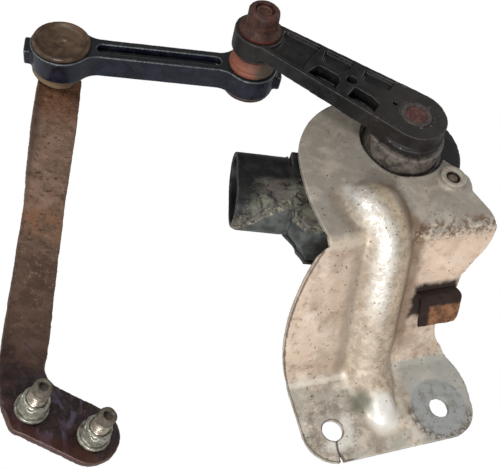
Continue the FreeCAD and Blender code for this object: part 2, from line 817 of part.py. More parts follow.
def makeSeal():
    inner = size("shaft_radius") + size("running_gap")
    top = size("neck_height")
    seal = turned("shaft_seal", [
        (inner + 1.0, sealSeat), (lipRadius, sealSeat), (lipRadius, top), (inner + 1.2, top),
        (inner, top - 1.2), (inner, top - 1.8), (inner + 1.0, top - 2.6),
    ])
    place(seal, 0, 0, 0)
    return seal


def makeShaft():
    radius = size("shaft_radius")
    low = shaftLow
    shaft = turned("rotor_shaft", [
        (0, low), (radius - 0.5, low), (radius, low + 0.5), (radius, leverTop - 0.4),
        (radius - 0.4, leverTop), (1.0, leverTop), (0, leverTop - 0.5),
    ])
    place(shaft, 0, 0, 0)
    return shaft


# Lever: a tapering arm with two walled recesses, a cross rib and a metal hub ring

def makeLever():
    body = newBody("lever_arm")
    length = size("lever_length")
    hub = size("lever_hub_radius")
    end = size("lever_end_radius")
    waist = size("lever_waist")
    tilt = math.acos((hub - waist) / length)
    height = size("lever_height")
    hubX, hubY = hub * math.cos(tilt), hub * math.sin(tilt)
    endX, endY = length + waist * math.cos(tilt), waist * math.sin(tilt)
    outline = newSketch(body, "lever_outline")
    addLoop(outline, (hubX, -hubY), [
        (endX, -endY),
        (length + waist, 0, endX, endY),
        (hubX, hubY),
        (-hub, 0, hubX, -hubY),
    ])
    pad(body, outline, "sizes.lever_height", "arm")

    def halfWidth(along):
        return hub + (waist - hub) * along / length - size("lever_wall")

    # the underside rises between the hub and the round boss that carries the stud
    under = newSketch(body, "lever_underside", "XZ_Plane")
    addLoop(under, (hub, -1), [
        (hub, size("lever_rise") / 2), (length, size("lever_rise")), (length + end, size("lever_rise")),
        (length + end, -1), (hub, -1),
    ])
    pocket(body, under, 4 * hub, "raised_underside", midplane=True)
    boss = newSketch(body, "lever_boss")
    addCircle(boss, end, length, 0)
    pad(body, boss, "sizes.lever_height", "stud_boss")

    # collar under the hub
    collar = newSketch(body, "lever_collar")
    addCircle(collar, hub + 1.2)
    pad(body, collar, 3.0, "hub_collar")

    # shallow tray by the nut boss, then deep pockets on the near side of the spine and shallow ones beyond it
    tray = newSketch(body, "lever_tray", "XY_Plane", lifted(height + 1))
    rim = end - 0.2
    reach = halfWidth(62)
    bossX = length - rim * math.cos(math.radians(35))
    bossY = rim * math.sin(math.radians(35))
    addLoop(tray, (48.5, -halfWidth(48.5)), [
        (bossX - 1, -reach), (bossX, -bossY), (length - rim, 0, bossX, bossY), (bossX - 1, reach),
        (48.5, halfWidth(48.5)), (48.5, -halfWidth(48.5)),
    ])
    pocket(body, tray, "1 + sizes.lever_tray", "tray")
    spine = size("lever_spine") / 2
    for side, depth in ((1, "sizes.lever_pocket"), (-1, "sizes.lever_tray")):
        cell = newSketch(body, "lever_cells" + ("_near" if side > 0 else "_far"), "XY_Plane", lifted(height + 1))
        addLoop(cell, (33.0, side * halfWidth(33)), [
            (45.8, side * halfWidth(46)), (44.0, side * spine), (35.0, side * spine), (33.0, side * (spine + 3.2)),
            (33.0, side * halfWidth(33)),
        ])
        addLoop(cell, (14.5, side * (spine + 3.4)), [
            (19.0, side * (spine + 1.6)), (26.4, side * (spine + 1.2)), (27.0, side * halfWidth(27)),
            (14.5, side * halfWidth(14)), (14.5, side * (spine + 3.4)),
        ])
        pocket(body, cell, "1 + " + depth, "cells" + ("_near" if side > 0 else "_far"))
    holes = newSketch(body, "lever_holes", "XY_Plane", lifted(height + 1))
    addCircle(holes, size("stud_radius") + size("running_gap"), length, 0)
    addCircle(holes, size("insert_radius"), 0, 0)
    addCircle(holes, 2.15, 29.5, 0)
    pocket(body, holes, height + 2, "lever_bores")
    dimple = newSketch(body, "lever_dimple", "XY_Plane", lifted(height + 1))
    addCircle(dimple, 1.0, 9.6, 0)
    pocket(body, dimple, 3.0, "dimple")
    place(body, 0, 0, leverBottom, aboutZ(size("lever_heading")))
    return body


# Ball studs and nuts

def studProfile(ball, flangeAt, flangeTop, tip, flangeRadius, shank):
    # ball at the origin, stud upwards
    neck = size("neck_pin_radius")
    touch = math.sqrt(ball * ball - neck * neck)
    return [
        (0, -ball),
        (ball * math.cos(math.radians(45)), -ball * math.sin(math.radians(45)), ball, 0),
        (ball * math.cos(math.radians(29)), ball * math.sin(math.radians(29)), neck, touch),
        (neck, flangeAt), (flangeRadius, flangeAt), (flangeRadius, flangeTop), (shank, flangeTop),
        (shank, tip - 0.8), (shank - 0.8, tip), (shank - 1.5, tip), (shank - 1.8, tip - size("stud_tip_recess")),
        (0, tip - size("stud_tip_recess")), (0, -ball),
    ]


def makeLeverStud():
    flangeTop = leverBottom - ballHeight
    tip = leverTop + size("nut_height") - 0.8 - ballHeight
    stud = turned("lever_ball_stud", studProfile(size("ball_radius"), flangeTop - size("stud_flange_height"),
                                                 flangeTop, tip, size("stud_flange_radius"), size("stud_radius")))
    place(stud, leverX, leverY, ballHeight)
    return stud


def makeNut(name, flats, flange, height, bore):
    body = newBody(name)
    rim = 1.2
    skirt = newSketch(body, name + "_flange", "XZ_Plane")
    addLoop(skirt, (0, 0), [
        (flange, 0), (flange, rim), (flats / 2 + 0.2, rim + (flange - flats / 2) * 0.75), (0, rim + flats * 0.3), (0, 0),
    ])
    base = body.newObject("PartDesign::Revolution", name + "_skirt")
    base.Profile = skirt
    base.ReferenceAxis = (skirt, ["V_Axis"])
    base.Angle = 360
    doc.recompute()
    hexagon = newSketch(body, name + "_hexagon", "XY_Plane", lifted(1.0))
    corner = flats / math.sqrt(3)
    points = [polar(corner, 60 * count + 12) for count in range(7)]
    addLoop(hexagon, points[0], points[1:])
    pad(body, hexagon, height - 1.0, name + "_hex")
    # conical cut that rounds the six corners at the top
    crown = newSketch(body, name + "_crown", "XZ_Plane")
    worn = flats * 0.54
    addLoop(crown, (flats * 0.36, height + 0.01), [
        (flats * 0.48, height - flats * 0.06, worn, height - flats * 0.2),
        (worn, rim + (flange - worn) * 0.75), (corner + 1, rim + (flange - corner - 1) * 0.75),
        (corner + 1, height + 1), (flats * 0.36, height + 1), (flats * 0.36, height + 0.01),
    ])
    cone = body.newObject("PartDesign::Groove", name + "_chamfer")
    cone.Profile = crown
    cone.ReferenceAxis = (crown, ["V_Axis"])
    cone.Angle = 360
    hole = newSketch(body, name + "_hole", "XY_Plane", lifted(height + 1))
    addCircle(hole, bore)
    pocket(body, hole, height + 2, name + "_thread")
    return body


# Link: two eyes joined by a grooved bar

def makeLink():
    body = newBody("link_rod")
    length = size("link_length")
    eye = size("eye_radius")
    leverEye = size("lever_eye_radius")
    height = size("link_height")
    half = size("link_width") / 2
    eyes = newSketch(body, "link_eyes")
    addCircle(eyes, leverEye, 0, 0, alias="sizes.lever_eye_radius")
    addCircle(eyes, eye, length, 0, alias="sizes.eye_radius")
    pad(body, eyes, "sizes.link_height", "eyes")

    def flarePoints(radius):
        # where the fillet between an eye and the bar leaves the eye, its middle, and where it joins the bar
        flare = size("link_fillet")
        centreX = math.sqrt((radius + flare) ** 2 - (half + flare) ** 2)
        centreY = half + flare
        lean = math.atan2(centreY, centreX) + math.pi
        turn = (lean + 1.5 * math.pi) / 2
        touch = (centreX * radius / (radius + flare), centreY * radius / (radius + flare))
        return touch, (centreX + flare * math.cos(turn), centreY + flare * math.sin(turn)), centreX

    bar = newSketch(body, "link_bar_outline")
    near, nearMiddle, nearJoin = flarePoints(leverEye)
    far, farMiddle, farJoin = flarePoints(eye)
    addLoop(bar, (near[0], -near[1]), [
        (nearMiddle[0], -nearMiddle[1], nearJoin, -half),
        (length - farJoin, -half),
        (length - farMiddle[0], -farMiddle[1], length - far[0], -far[1]),
        (length - far[0], far[1]),
        (length - farMiddle[0], farMiddle[1], length - farJoin, half),
        (nearJoin, half),
        (nearMiddle[0], nearMiddle[1], near[0], near[1]),
        (near[0], -near[1]),
    ])
    pad(body, bar, "sizes.link_height", "bar")
    reach = size("lug_reach")
    for name, x, side in (("lever", -leverEye, -1), ("strap", length + eye, 1)):
        lug = newSketch(body, name + "_lug_outline", "XY_Plane", lifted(1.6))
        tip = x + side * reach
        addLoop(lug, (x - side * 3, -4.5), [
            (tip - side * 0.5, -4.5), (tip, -4), (tip, 4), (tip - side * 0.5, 4.5),
            (x - side * 3, 4.5), (x - side * 3, -4.5),
        ])
        pad(body, lug, 7.2, name + "_lug")
    depth = size("link_groove_depth")
    for name, level, flip in (("upper", height + 1, False), ("lower", -1.0, True)):
        groove = newSketch(body, name + "_groove", "XY_Plane", lifted(level))
        wide = size("link_groove") / 2
        start = leverEye + 4
        stop = length - eye - 4
        addLoop(groove, (start, -wide), [
            (stop, -wide),
            (stop + wide, 0, stop, wide),
            (start, wide),
            (start - wide, 0, start, -wide),
        ])
        pocket(body, groove, depth + 1, name + "_channel", reverse=flip)
    # sockets: each is open to its stud side through a lip and to the other side in full
    lip = size("eye_lip")
    for name, x, level, flip in (("lever", 0, -1.0, True), ("strap", length, height + 1, False)):
        seat = newSketch(body, name + "_socket", "XY_Plane", lifted(level))
        addCircle(seat, size("seat_radius"), x, 0)
        pocket(body, seat, height - lip + 1, name + "_socket_bore", reverse=flip)
    mouths = newSketch(body, "socket_mouths", "XY_Plane", lifted(height + 1))
    addCircle(mouths, size("eye_mouth_radius"), 0, 0)
    addCircle(mouths, size("eye_mouth_radius"), length, 0)
    pocket(body, mouths, height + 2, "mouth_bores")
    place(body, leverX, leverY, linkBottom, aboutZ(size("link_heading")))
    return body


def makeSeat(name, x, y, flip):
    # plastic cup round the ball, open towards the stud (+Z before it is turned)
    inner = size("ball_radius") + size("ball_gap")
    mouth = 3.2
    top = size("link_height") / 2 - size("eye_lip")
    low = -size("link_height") / 2 + size("cap_seat")
    rise = math.sqrt(inner * inner - mouth * mouth)
    deep = math.sqrt(inner * inner - 2.0 * 2.0)
    seat = turned(name, [
        (2.0, low), (size("seat_radius"), low), (size("seat_radius"), top), (mouth + 0.6, top),
        (mouth, rise), (inner, 0, 2.0, -deep), (2.0, low),
    ])
    place(seat, x, y, ballHeight, FreeCAD.Rotation(Vector(1, 0, 0), 180 if flip else 0))
    return seat


def makeCap(name, x, y, flip, rim):
    # pressed dish that closes the far side of the eye: rim, shallow bowl and centre dimple
    low = size("link_height") / 2
    rise = size("cap_height")
    cap = turned(name, [
        (0, low - size("cap_seat")), (size("seat_radius"), low - size("cap_seat")), (size("seat_radius"), low),
        (rim, low), (rim, low + rise * 0.6), (rim - 0.5, low + rise), (rim - 1.6, low + rise),
        (rim - 2.6, low + 0.5), (3.0, low + 0.3), (1.8, low - 0.4), (0, low - 0.5),
        (0, low - size("cap_seat")),
    ])
    place(cap, x, y, ballHeight, FreeCAD.Rotation(Vector(1, 0, 0), 180 if flip else 0))
    return cap


def makeLeverBoot():
    # rubber bellows between the eye and the flange of the lever's stud
    wall = size("boot_wall")
    low = size("link_height") / 2
    high = leverBottom - size("stud_flange_height") - size("boot_gap") - ballHeight
    mid = (low + high) / 2
    lip = size("neck_pin_radius") + size("boot_gap")
    boot = turned("link_boot_lever", [
        (8.8, low), (10.0, low), (10.1, low + 1.8), (9.4, low + 2.6), (9.7, mid), (8.6, mid + 1.6), (7.2, high),
        (lip, high), (lip, high - wall), (6.6, high - wall), (8.0, mid + 0.6), (8.4, low + 2.6), (8.8, low + 1.4),
        (8.8, low),
    ])
    place(boot, leverX, leverY, ballHeight)
    return boot


def makeStrapBoot():
    # the same between the eye and the tilted strap: turned about the strap's own axis,
    # then cut level where it meets the underside of the eye
    drop = size("strap_drop")
    gap = size("boot_gap")
    base = newBody("strap_boot_blank")
    profile = newSketch(base, "strap_boot_profile", "XZ_Plane")
    lip = size("neck_pin_radius") + gap
    addLoop(profile, (lip, gap), [
        (9.0, gap), (9.8, 1.2), (9.4, 2.8), (10.2, 4.4), (10.0, 6.0), (10.0, drop), (8.8, drop), (8.8, 5.6), (8.2, 2.6),
        (lip, 2.0), (lip, gap),
    ])
    feature = base.newObject("PartDesign::Revolution", "strap_boot_turned")
    feature.Profile = profile
    feature.ReferenceAxis = (profile, ["V_Axis"])
    feature.Angle = 360
    base.Placement = FreeCAD.Placement(strapOrigin + rowShift, strapRotation)
    above = doc.addObject("Part::Box", "eye_level")
    span = 2 * size("eye_radius")
    above.Length = 2 * span
    above.Width = 2 * span
    above.Height = span
    place(above, strapX - span, strapY - span, linkBottom)
    boot = doc.addObject("Part::Cut", "link_boot_strap")
    boot.Base = base
    boot.Tool = above
    return boot


# Strap: a long flat bar whose foot turns aside and carries two studs

def onStrap(x, y, z):
    return strapPlacement.multVec(Vector(x, y, z))


def studSpots():
    length = size("strap_length")
    spacing = size("foot_stud_spacing")
    fall = math.radians(size("foot_stud_fall") - 2.0)
    first = (size("foot_stud_shift"), -length)
    second = (first[0] + spacing * math.cos(fall), first[1] - spacing * math.sin(fall))
    return first, second


def makeStrap():
    body = newBody("strap_bracket")
    half = size("strap_width") / 2
    waist = size("strap_waist") / 2
    shift = size("strap_shift")
    middle = size("waist_shift")
    length = size("strap_length")
    first, second = studSpots()
    end = size("foot_end_radius")
    outline = newSketch(body, "strap_outline", "XY_Plane", lifted(-size("strap_gauge")))
    addLoop(outline, (shift - half, 0), [
        (shift - half + 0.2, -length * 0.22, middle - waist, -length * 0.47),
        (middle - waist, -length * 0.9),
        (middle - waist + 1.2, -length * 0.97, first[0] - 6.4, first[1] - 5.2),
        (first[0] - 5.0, first[1] - 7.4, first[0] - 2.0, first[1] - 8.4),
        (second[0] - 3.0, second[1] - end + 0.6),
        (second[0] + 5.6, second[1] - 6.6, second[0] + end - 0.6, second[1] + 1.2),
        (second[0] + 6.6, second[1] + 7.0, second[0] + 1.8, second[1] + 10.0),
        (first[0] + 8.0, first[1] + 8.6),
        (middle + waist + 1.2, -length * 0.93, middle + waist, -length * 0.885),
        (middle + waist, -length * 0.47),
        (shift + half - 0.2, -length * 0.22, shift + half, 0),
        (shift, half, shift - half, 0),
    ])
    pad(body, outline, "sizes.strap_gauge", "bar_and_foot")
    holes = newSketch(body, "strap_holes", "XY_Plane", lifted(1))
    addCircle(holes, size("stud_radius"), 0, 0)
    addCircle(holes, size("foot_stud_shank"), first[0], first[1])
    addCircle(holes, size("foot_stud_shank"), second[0], second[1])
    pocket(body, holes, size("strap_gauge") + 2, "strap_bores")
    body.Placement = FreeCAD.Placement(strapOrigin + rowShift, strapRotation)
    return body


def makeStrapStud():
    drop = size("strap_drop")
    ball = size("ball_radius")
    neck = size("neck_pin_radius")
    touch = math.sqrt(ball * ball - neck * neck)
    rivet = size("stud_radius")
    gauge = size("strap_gauge")
    stud = turned("strap_ball_stud", [
        (0, drop + ball), (ball * 0.7071, drop + ball * 0.7071, ball, drop),
        (ball * math.cos(math.radians(29)), drop - ball * math.sin(math.radians(29)), neck, drop - touch),
        (neck, 0), (rivet, 0), (rivet, -gauge), (6.2, -gauge), (5.6, -gauge - 1.6), (3.0, -gauge - 2.2),
        (0, -gauge - 2.2), (0, drop + ball),
    ])
    stud.Placement = FreeCAD.Placement(strapOrigin + rowShift, strapRotation)
    return stud


def makeFootStud(name, spot):
    gauge = size("strap_gauge")
    radius = size("foot_stud_radius")
    tip = size("foot_stud_height")
    shank = size("foot_stud_shank")
    stud = turned(name, [
        (0, -gauge - 1.8), (4.6, -gauge - 1.8), (5.2, -gauge - 1.2), (5.2, -gauge), (shank, -gauge),
        (shank, size("foot_nut_height")), (radius, size("foot_nut_height")),
        (radius, tip - 0.7), (radius - 0.7, tip), (1.5, tip), (1.2, tip - 1.4), (0, tip - 1.4), (0, -gauge - 1.8),
    ])
    origin = onStrap(spot[0], spot[1], 0) + rowShift
    stud.Placement = FreeCAD.Placement(origin, strapRotation)
    return stud


# Build every piece and group the ones that share a node

bracket = makeBracket()
place(bracket, 0, 0, 0)
nodes = {"mounting_bracket": [bracket], "harness_hook": [makeHook()], "sensor_housing": [makeHousing()]}
sealBottom = housingBottom - size("seal_gauge")
nodes["housing_cover"] = [floorPlate("housing_cover", sealBottom - size("cover_gauge"), "sizes.cover_gauge", 0)]
nodes["cover_seal"] = [floorPlate("cover_seal", sealBottom, "sizes.seal_gauge", 0.6, size("housing_wall"))]
nodes["circuit_board"] = [floorPlate("circuit_board", boardTop - size("board_gauge"), "sizes.board_gauge", size("housing_wall"))]
nodes["shaft_bush"] = [ring("shaft_bush", size("shaft_radius") + size("running_gap"), bushRadius,
                            sealSeat - size("bush_length"), size("bush_length"))]
nodes["shaft_seal"] = [makeSeal()]
nodes["connector_terminals"] = makeTerminals()
screw = makeScrews()
sleeve = makeSleeve()
nodes["lever_arm"] = [makeLever()]
nodes["hub_insert"] = [ring("hub_insert", size("shaft_radius"), size("insert_radius"), leverBottom, size("lever_height"))]
nodes["rotor_shaft"] = [makeShaft()]
nodes["rotor_magnet"] = [ring("rotor_magnet", size("shaft_radius"), size("magnet_radius"),
                              shaftLow + 0.5, size("magnet_height"))]
nodes["lever_ball_stud"] = [makeLeverStud()]
leverNut = makeNut("lever_nut", size("nut_across_flats"), size("nut_flange_radius"), size("nut_height"),
                   size("stud_radius"))
place(leverNut, leverX, leverY, leverTop)
nodes["lever_nut"] = [leverNut]
nodes["link_rod"] = [makeLink()]
nodes["ball_seat_lever"] = [makeSeat("ball_seat_lever", leverX, leverY, False)]
nodes["ball_seat_strap"] = [makeSeat("ball_seat_strap", strapX, strapY, True)]
nodes["socket_cap_lever"] = [makeCap("socket_cap_lever", leverX, leverY, True, size("lever_cap_radius"))]
nodes["socket_cap_strap"] = [makeCap("socket_cap_strap", strapX, strapY, False, size("cap_radius"))]
nodes["link_boot_lever"] = [makeLeverBoot()]
nodes["link_boot_strap"] = [makeStrapBoot()]
nodes["strap_ball_stud"] = [makeStrapStud()]
nodes["strap_bracket"] = [makeStrap()]
spots = studSpots()
nodes["foot_studs"] = [makeFootStud("foot_stud_one", spots[0]), makeFootStud("foot_stud_two", spots[1])]
footNuts = []
for number, spot in enumerate(spots):
    nut = makeNut("foot_nut" + str(number + 1), size("foot_nut_across_flats"), size("foot_nut_flange_radius"),
                  size("foot_nut_height"), size("foot_stud_shank"))
    nut.Placement = FreeCAD.Placement(onStrap(spot[0], spot[1], 0) + rowShift, strapRotation)
    footNuts.append(nut)
nodes["foot_nuts"] = footNuts
doc.recompute()
nodes["housing_screws"] = [screw, copyOf(screw, "ear_screw_far", farEar[0], farEar[1], earBottom)]
nodes["ear_sleeves"] = [sleeve, copyOf(sleeve, "ear_sleeve_far", farEar[0], farEar[1], earBottom)]
doc.recompute()

# Nothing is written unless every piece is sound

for thing in doc.Objects:
    if "Invalid" in thing.State or "Error" in thing.State:
        raise RuntimeError(thing.Name + " did not build")
os.makedirs("parts", exist_ok=True)
shapes = {}
for name, pieces in nodes.items():
    for piece in pieces:
        if piece.Shape.isNull() or not piece.Shape.isValid() or piece.Shape.Volume <= 0:
            raise RuntimeError(name + " has no sound shape")
    shapes[name] = pieces[0].Shape if len(pieces) == 1 else Part.makeCompound([piece.Shape for piece in pieces])
    pieces[0].Label = name
for name, shape in shapes.items():
    shape.exportStep("parts/" + name + ".step")
    print(name, len(shape.Solids), round(shape.Volume))
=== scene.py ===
import json
import math

import bpy
import numpy as np
from mathutils import Matrix, Vector


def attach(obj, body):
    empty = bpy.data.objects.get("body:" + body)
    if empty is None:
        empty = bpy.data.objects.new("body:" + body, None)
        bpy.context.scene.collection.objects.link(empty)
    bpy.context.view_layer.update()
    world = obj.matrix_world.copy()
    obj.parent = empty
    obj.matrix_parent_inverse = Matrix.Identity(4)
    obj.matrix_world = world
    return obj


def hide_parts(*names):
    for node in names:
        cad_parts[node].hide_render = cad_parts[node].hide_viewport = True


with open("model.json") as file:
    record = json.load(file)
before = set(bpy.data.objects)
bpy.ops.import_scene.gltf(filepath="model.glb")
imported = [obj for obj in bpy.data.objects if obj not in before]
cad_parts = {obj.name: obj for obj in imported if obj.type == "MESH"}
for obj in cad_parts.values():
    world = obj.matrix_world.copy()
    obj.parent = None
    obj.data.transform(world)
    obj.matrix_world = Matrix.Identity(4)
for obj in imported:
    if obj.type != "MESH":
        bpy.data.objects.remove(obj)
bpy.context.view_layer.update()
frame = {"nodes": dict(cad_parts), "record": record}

nodes = frame["nodes"]
bodyOfNode = {}
for bodyName, nodeNames in frame["record"]["behaviour"]["bodies"].items():
    for nodeName in nodeNames:
        bodyOfNode[nodeName] = bodyName
print("stage: frame loaded,", len(nodes), "nodes")

mm = 0.001

# where the sensor's axes lie in the row frame, in millimetres, and the tilt of the strap
layout = {
    "shaft": (-3.8, 93.265, 65.635),
    "leverLength": 73.0,
    "leverHeading": 134.4,
    "leverTop": 16.4,
    "linkLength": 80.1,
    "linkHeading": 167.3,
    "ballBelowPlate": 8.1,
    "strapDrop": 12.2,
    "strapTilt": 17.0,
    "strapTiltHeading": 6.6,
    "strapHeading": 77.4,
    "studInner": (7.9, -155.9),
    "studSpacing": 20.5,
    "studFall": 17.0,
    "beadX": -25.8,
    "foldY": 50.27,
    "plugHeading": 165.0,
    "plugNear": -28.0,
    "plugFar": -18.0,
    "plugHeight": -15.5,
    "plugFoot": 47.0,
    "leftHoleX": -49.3,
}


def polar(radius, degrees):
    angle = math.radians(degrees)
    return np.array([radius * math.cos(angle), radius * math.sin(angle), 0.0])


shaftFoot = np.array(layout["shaft"])
leverEnd = shaftFoot + polar(layout["leverLength"], layout["leverHeading"])
linkEnd = leverEnd + polar(layout["linkLength"], layout["linkHeading"])
ballDrop = np.array([0, 0, -layout["ballBelowPlate"]])
tiltAngle = math.radians(layout["strapTilt"])
strapUp = polar(math.sin(tiltAngle), layout["strapTiltHeading"]) + np.array([0, 0, math.cos(tiltAngle)])
strapUp = strapUp / np.linalg.norm(strapUp)
strapBack = polar(1.0, layout["strapHeading"])
strapBack[2] = -strapBack.dot(strapUp) / strapUp[2]
strapBack = strapBack / np.linalg.norm(strapBack)
strapSide = np.cross(strapBack, strapUp)
strapFoot = linkEnd + ballDrop - strapUp * layout["strapDrop"]


def onStrap(x, y, z=0.0):
    return strapFoot + strapSide * x + strapBack * y + strapUp * z


plugOut = polar(1.0, layout["plugHeading"])
plugSide = polar(1.0, layout["plugHeading"] - 90.0)


def studSpots():
    x, y = layout["studInner"]
    step = polar(layout["studSpacing"], -layout["studFall"])
    return [onStrap(x, y), onStrap(x + step[0], y + step[1])]


# Materials: every finish is worked out on Object coordinates

def srgb(red, green, blue):
    # colour written as it looks on a screen, 0 to 255, turned into linear light
    parts = []
    for value in (red, green, blue):
        share = min(value, 255) / 255.0
        parts.append(share / 12.92 if share <= 0.04045 else ((share + 0.055) / 1.055) ** 2.4)
    return (parts[0], parts[1], parts[2], 1.0)


class Finish:
    # a material's node tree with short helpers, so that a recipe reads as a list of layers
    def __init__(self, name):
        self.material = bpy.data.materials.new(name)
        self.material.use_nodes = True
        self.tree = self.material.node_tree
        self.shader = self.tree.nodes["Principled BSDF"]
        self.place = self.add("ShaderNodeTexCoord").outputs["Object"]
        self.facing = self.add("ShaderNodeNewGeometry").outputs["Normal"]

    def add(self, kind):
        return self.tree.nodes.new(kind)

    def feed(self, socket, value):
        if hasattr(value, "is_output"):
            self.tree.links.new(value, socket)
        else:
            socket.default_value = value

    def moved(self, shift, stretch=(1, 1, 1)):
        mapping = self.add("ShaderNodeMapping")
        self.feed(mapping.inputs["Vector"], self.place)
        mapping.inputs["Location"].default_value = shift
        mapping.inputs["Scale"].default_value = stretch
        return mapping.outputs["Vector"]

    def noise(self, size, detail=6.0, rough=0.6, warp=0.0, shift=(0, 0, 0), stretch=(1, 1, 1)):
        # size is the width of a patch in millimetres
        node = self.add("ShaderNodeTexNoise")
        self.feed(node.inputs["Vector"], self.moved(shift, stretch))
        node.inputs["Scale"].default_value = 1.0 / (size * mm)
        node.inputs["Detail"].default_value = detail
        node.inputs["Roughness"].default_value = rough
        node.inputs["Distortion"].default_value = warp
        return node.outputs["Fac"]

    def cells(self, size, shift=(0, 0, 0), stretch=(1, 1, 1)):
        node = self.add("ShaderNodeTexVoronoi")
        self.feed(node.inputs["Vector"], self.moved(shift, stretch))
        node.inputs["Scale"].default_value = 1.0 / (size * mm)
        return node.outputs["Distance"]

    def sums(self, kind, first, second=0.0, clamp=False):
        node = self.add("ShaderNodeMath")
        node.operation = kind
        node.use_clamp = clamp
        self.feed(node.inputs[0], first)
        self.feed(node.inputs[1], second)
        return node.outputs[0]

    def both(self, *shares):
        # all of the shares together
        total = shares[0]
        for share in shares[1:]:
            total = self.sums("MULTIPLY", total, share)
        return total

    def step(self, value, low, high, outLow=0.0, outHigh=1.0):
        # smooth change of the value from low to high
        node = self.add("ShaderNodeMapRange")
        node.interpolation_type = "SMOOTHSTEP"
        self.feed(node.inputs["Value"], value)
        node.inputs["From Min"].default_value = low
        node.inputs["From Max"].default_value = high
        node.inputs["To Min"].default_value = outLow
        node.inputs["To Max"].default_value = outHigh
        return node.outputs["Result"]

    def between(self, value, low, high, soft):
        return self.both(self.step(value, low - soft, low + soft),
                         self.step(value, high - soft, high + soft, 1.0, 0.0))

    def blend(self, share, first, second):
        node = self.add("ShaderNodeMix")
        node.data_type = "RGBA"
        self.feed(node.inputs[0], share)
        self.feed(node.inputs[6], first)
        self.feed(node.inputs[7], second)
        return node.outputs[2]

    def ragged(self, value, size, reach, shift=(0, 0, 0)):
        # a distance in millimetres whose line wanders by the reach
        wander = self.sums("SUBTRACT", self.noise(size, 6.0, 0.6, 0.4, shift), 0.5)
        return self.sums("ADD", value, self.sums("MULTIPLY", wander, 2.0 * reach))

    def along(self, direction, origin=(0, 0, 0)):
        # distance in millimetres from the origin along a direction
        shift = self.add("ShaderNodeVectorMath")
        shift.operation = "SUBTRACT"
        self.feed(shift.inputs[0], self.place)
        shift.inputs[1].default_value = [value * mm for value in origin]
        dot = self.add("ShaderNodeVectorMath")
        dot.operation = "DOT_PRODUCT"
        self.feed(dot.inputs[0], shift.outputs[0])
        dot.inputs[1].default_value = [value / mm for value in direction]
        return dot.outputs["Value"]

    def away(self, centre, squash=(1, 1, 1)):
        # distance in millimetres from a point; an axis squashed to 0 isn't counted
        node = self.add("ShaderNodeVectorMath")
        node.operation = "LENGTH"
        self.feed(node.inputs[0], self.moved([-c * mm * s for c, s in zip(centre, squash)], squash))
        return self.sums("MULTIPLY", node.outputs["Value"], 1.0 / mm)

    def lying(self, direction=(0, 0, 1)):
        # how far the surface faces a direction, from -1 to 1
        dot = self.add("ShaderNodeVectorMath")
        dot.operation = "DOT_PRODUCT"
        self.feed(dot.inputs[0], self.facing)
        dot.inputs[1].default_value = [float(value) for value in direction]
        return dot.outputs["Value"]

    def plugRadius(self, outward, aside, height):
        # distance in millimetres from the flat middle of the plug shroud
        near = self.sums("SUBTRACT", layout["plugNear"], aside)
        far = self.sums("SUBTRACT", aside, layout["plugFar"])
        over = self.sums("MAXIMUM", self.sums("MAXIMUM", near, far), 0.0)
        rise = self.sums("SUBTRACT", height, layout["plugHeight"])
        return self.sums("SQRT", self.sums("ADD", self.both(over, over), self.both(rise, rise)))

    def crest(self):
        # how far the surface stands out at an edge, or lies in a corner, kept on the mesh
        node = self.add("ShaderNodeAttribute")
        node.attribute_name = "crest"
        return node.outputs["Fac"]

    def relief(self, height, depth, strength=1.0, under=None):
        # depth in millimetres
        node = self.add("ShaderNodeBump")
        node.inputs["Strength"].default_value = strength
        node.inputs["Distance"].default_value = depth * mm
        self.feed(node.inputs["Height"], height)
        if under is not None:
            self.feed(node.inputs["Normal"], under)
        return node.outputs["Normal"]

    def finish(self, colour, roughness, metallic=0.0, normal=None, gloss=0.4):
        self.feed(self.shader.inputs["Base Color"], colour)
        self.feed(self.shader.inputs["Specular IOR Level"], gloss)
        self.feed(self.shader.inputs["Roughness"], roughness)
        self.feed(self.shader.inputs["Metallic"], metallic)
        if normal is not None:
            self.feed(self.shader.inputs["Normal"], normal)
        return self.material


# plate, web and foot are painted lit and shaded copies of one zinc; bright is a painted highlight, flank is
# painted shade
bracketLook = {
    "plate": (150, 143, 132),
    "web": (212, 190, 170),
    "foot": (178, 172, 160),
    "bright": (250, 246, 238),
    "flank": (116, 88, 62),
    "stain": (92, 62, 40),
    "speck": (84, 66, 50),
    "washer": (152, 155, 154),
}
hookBox = {"left": -9.8, "right": 9.2, "foot": 27.0, "top": 39.5}


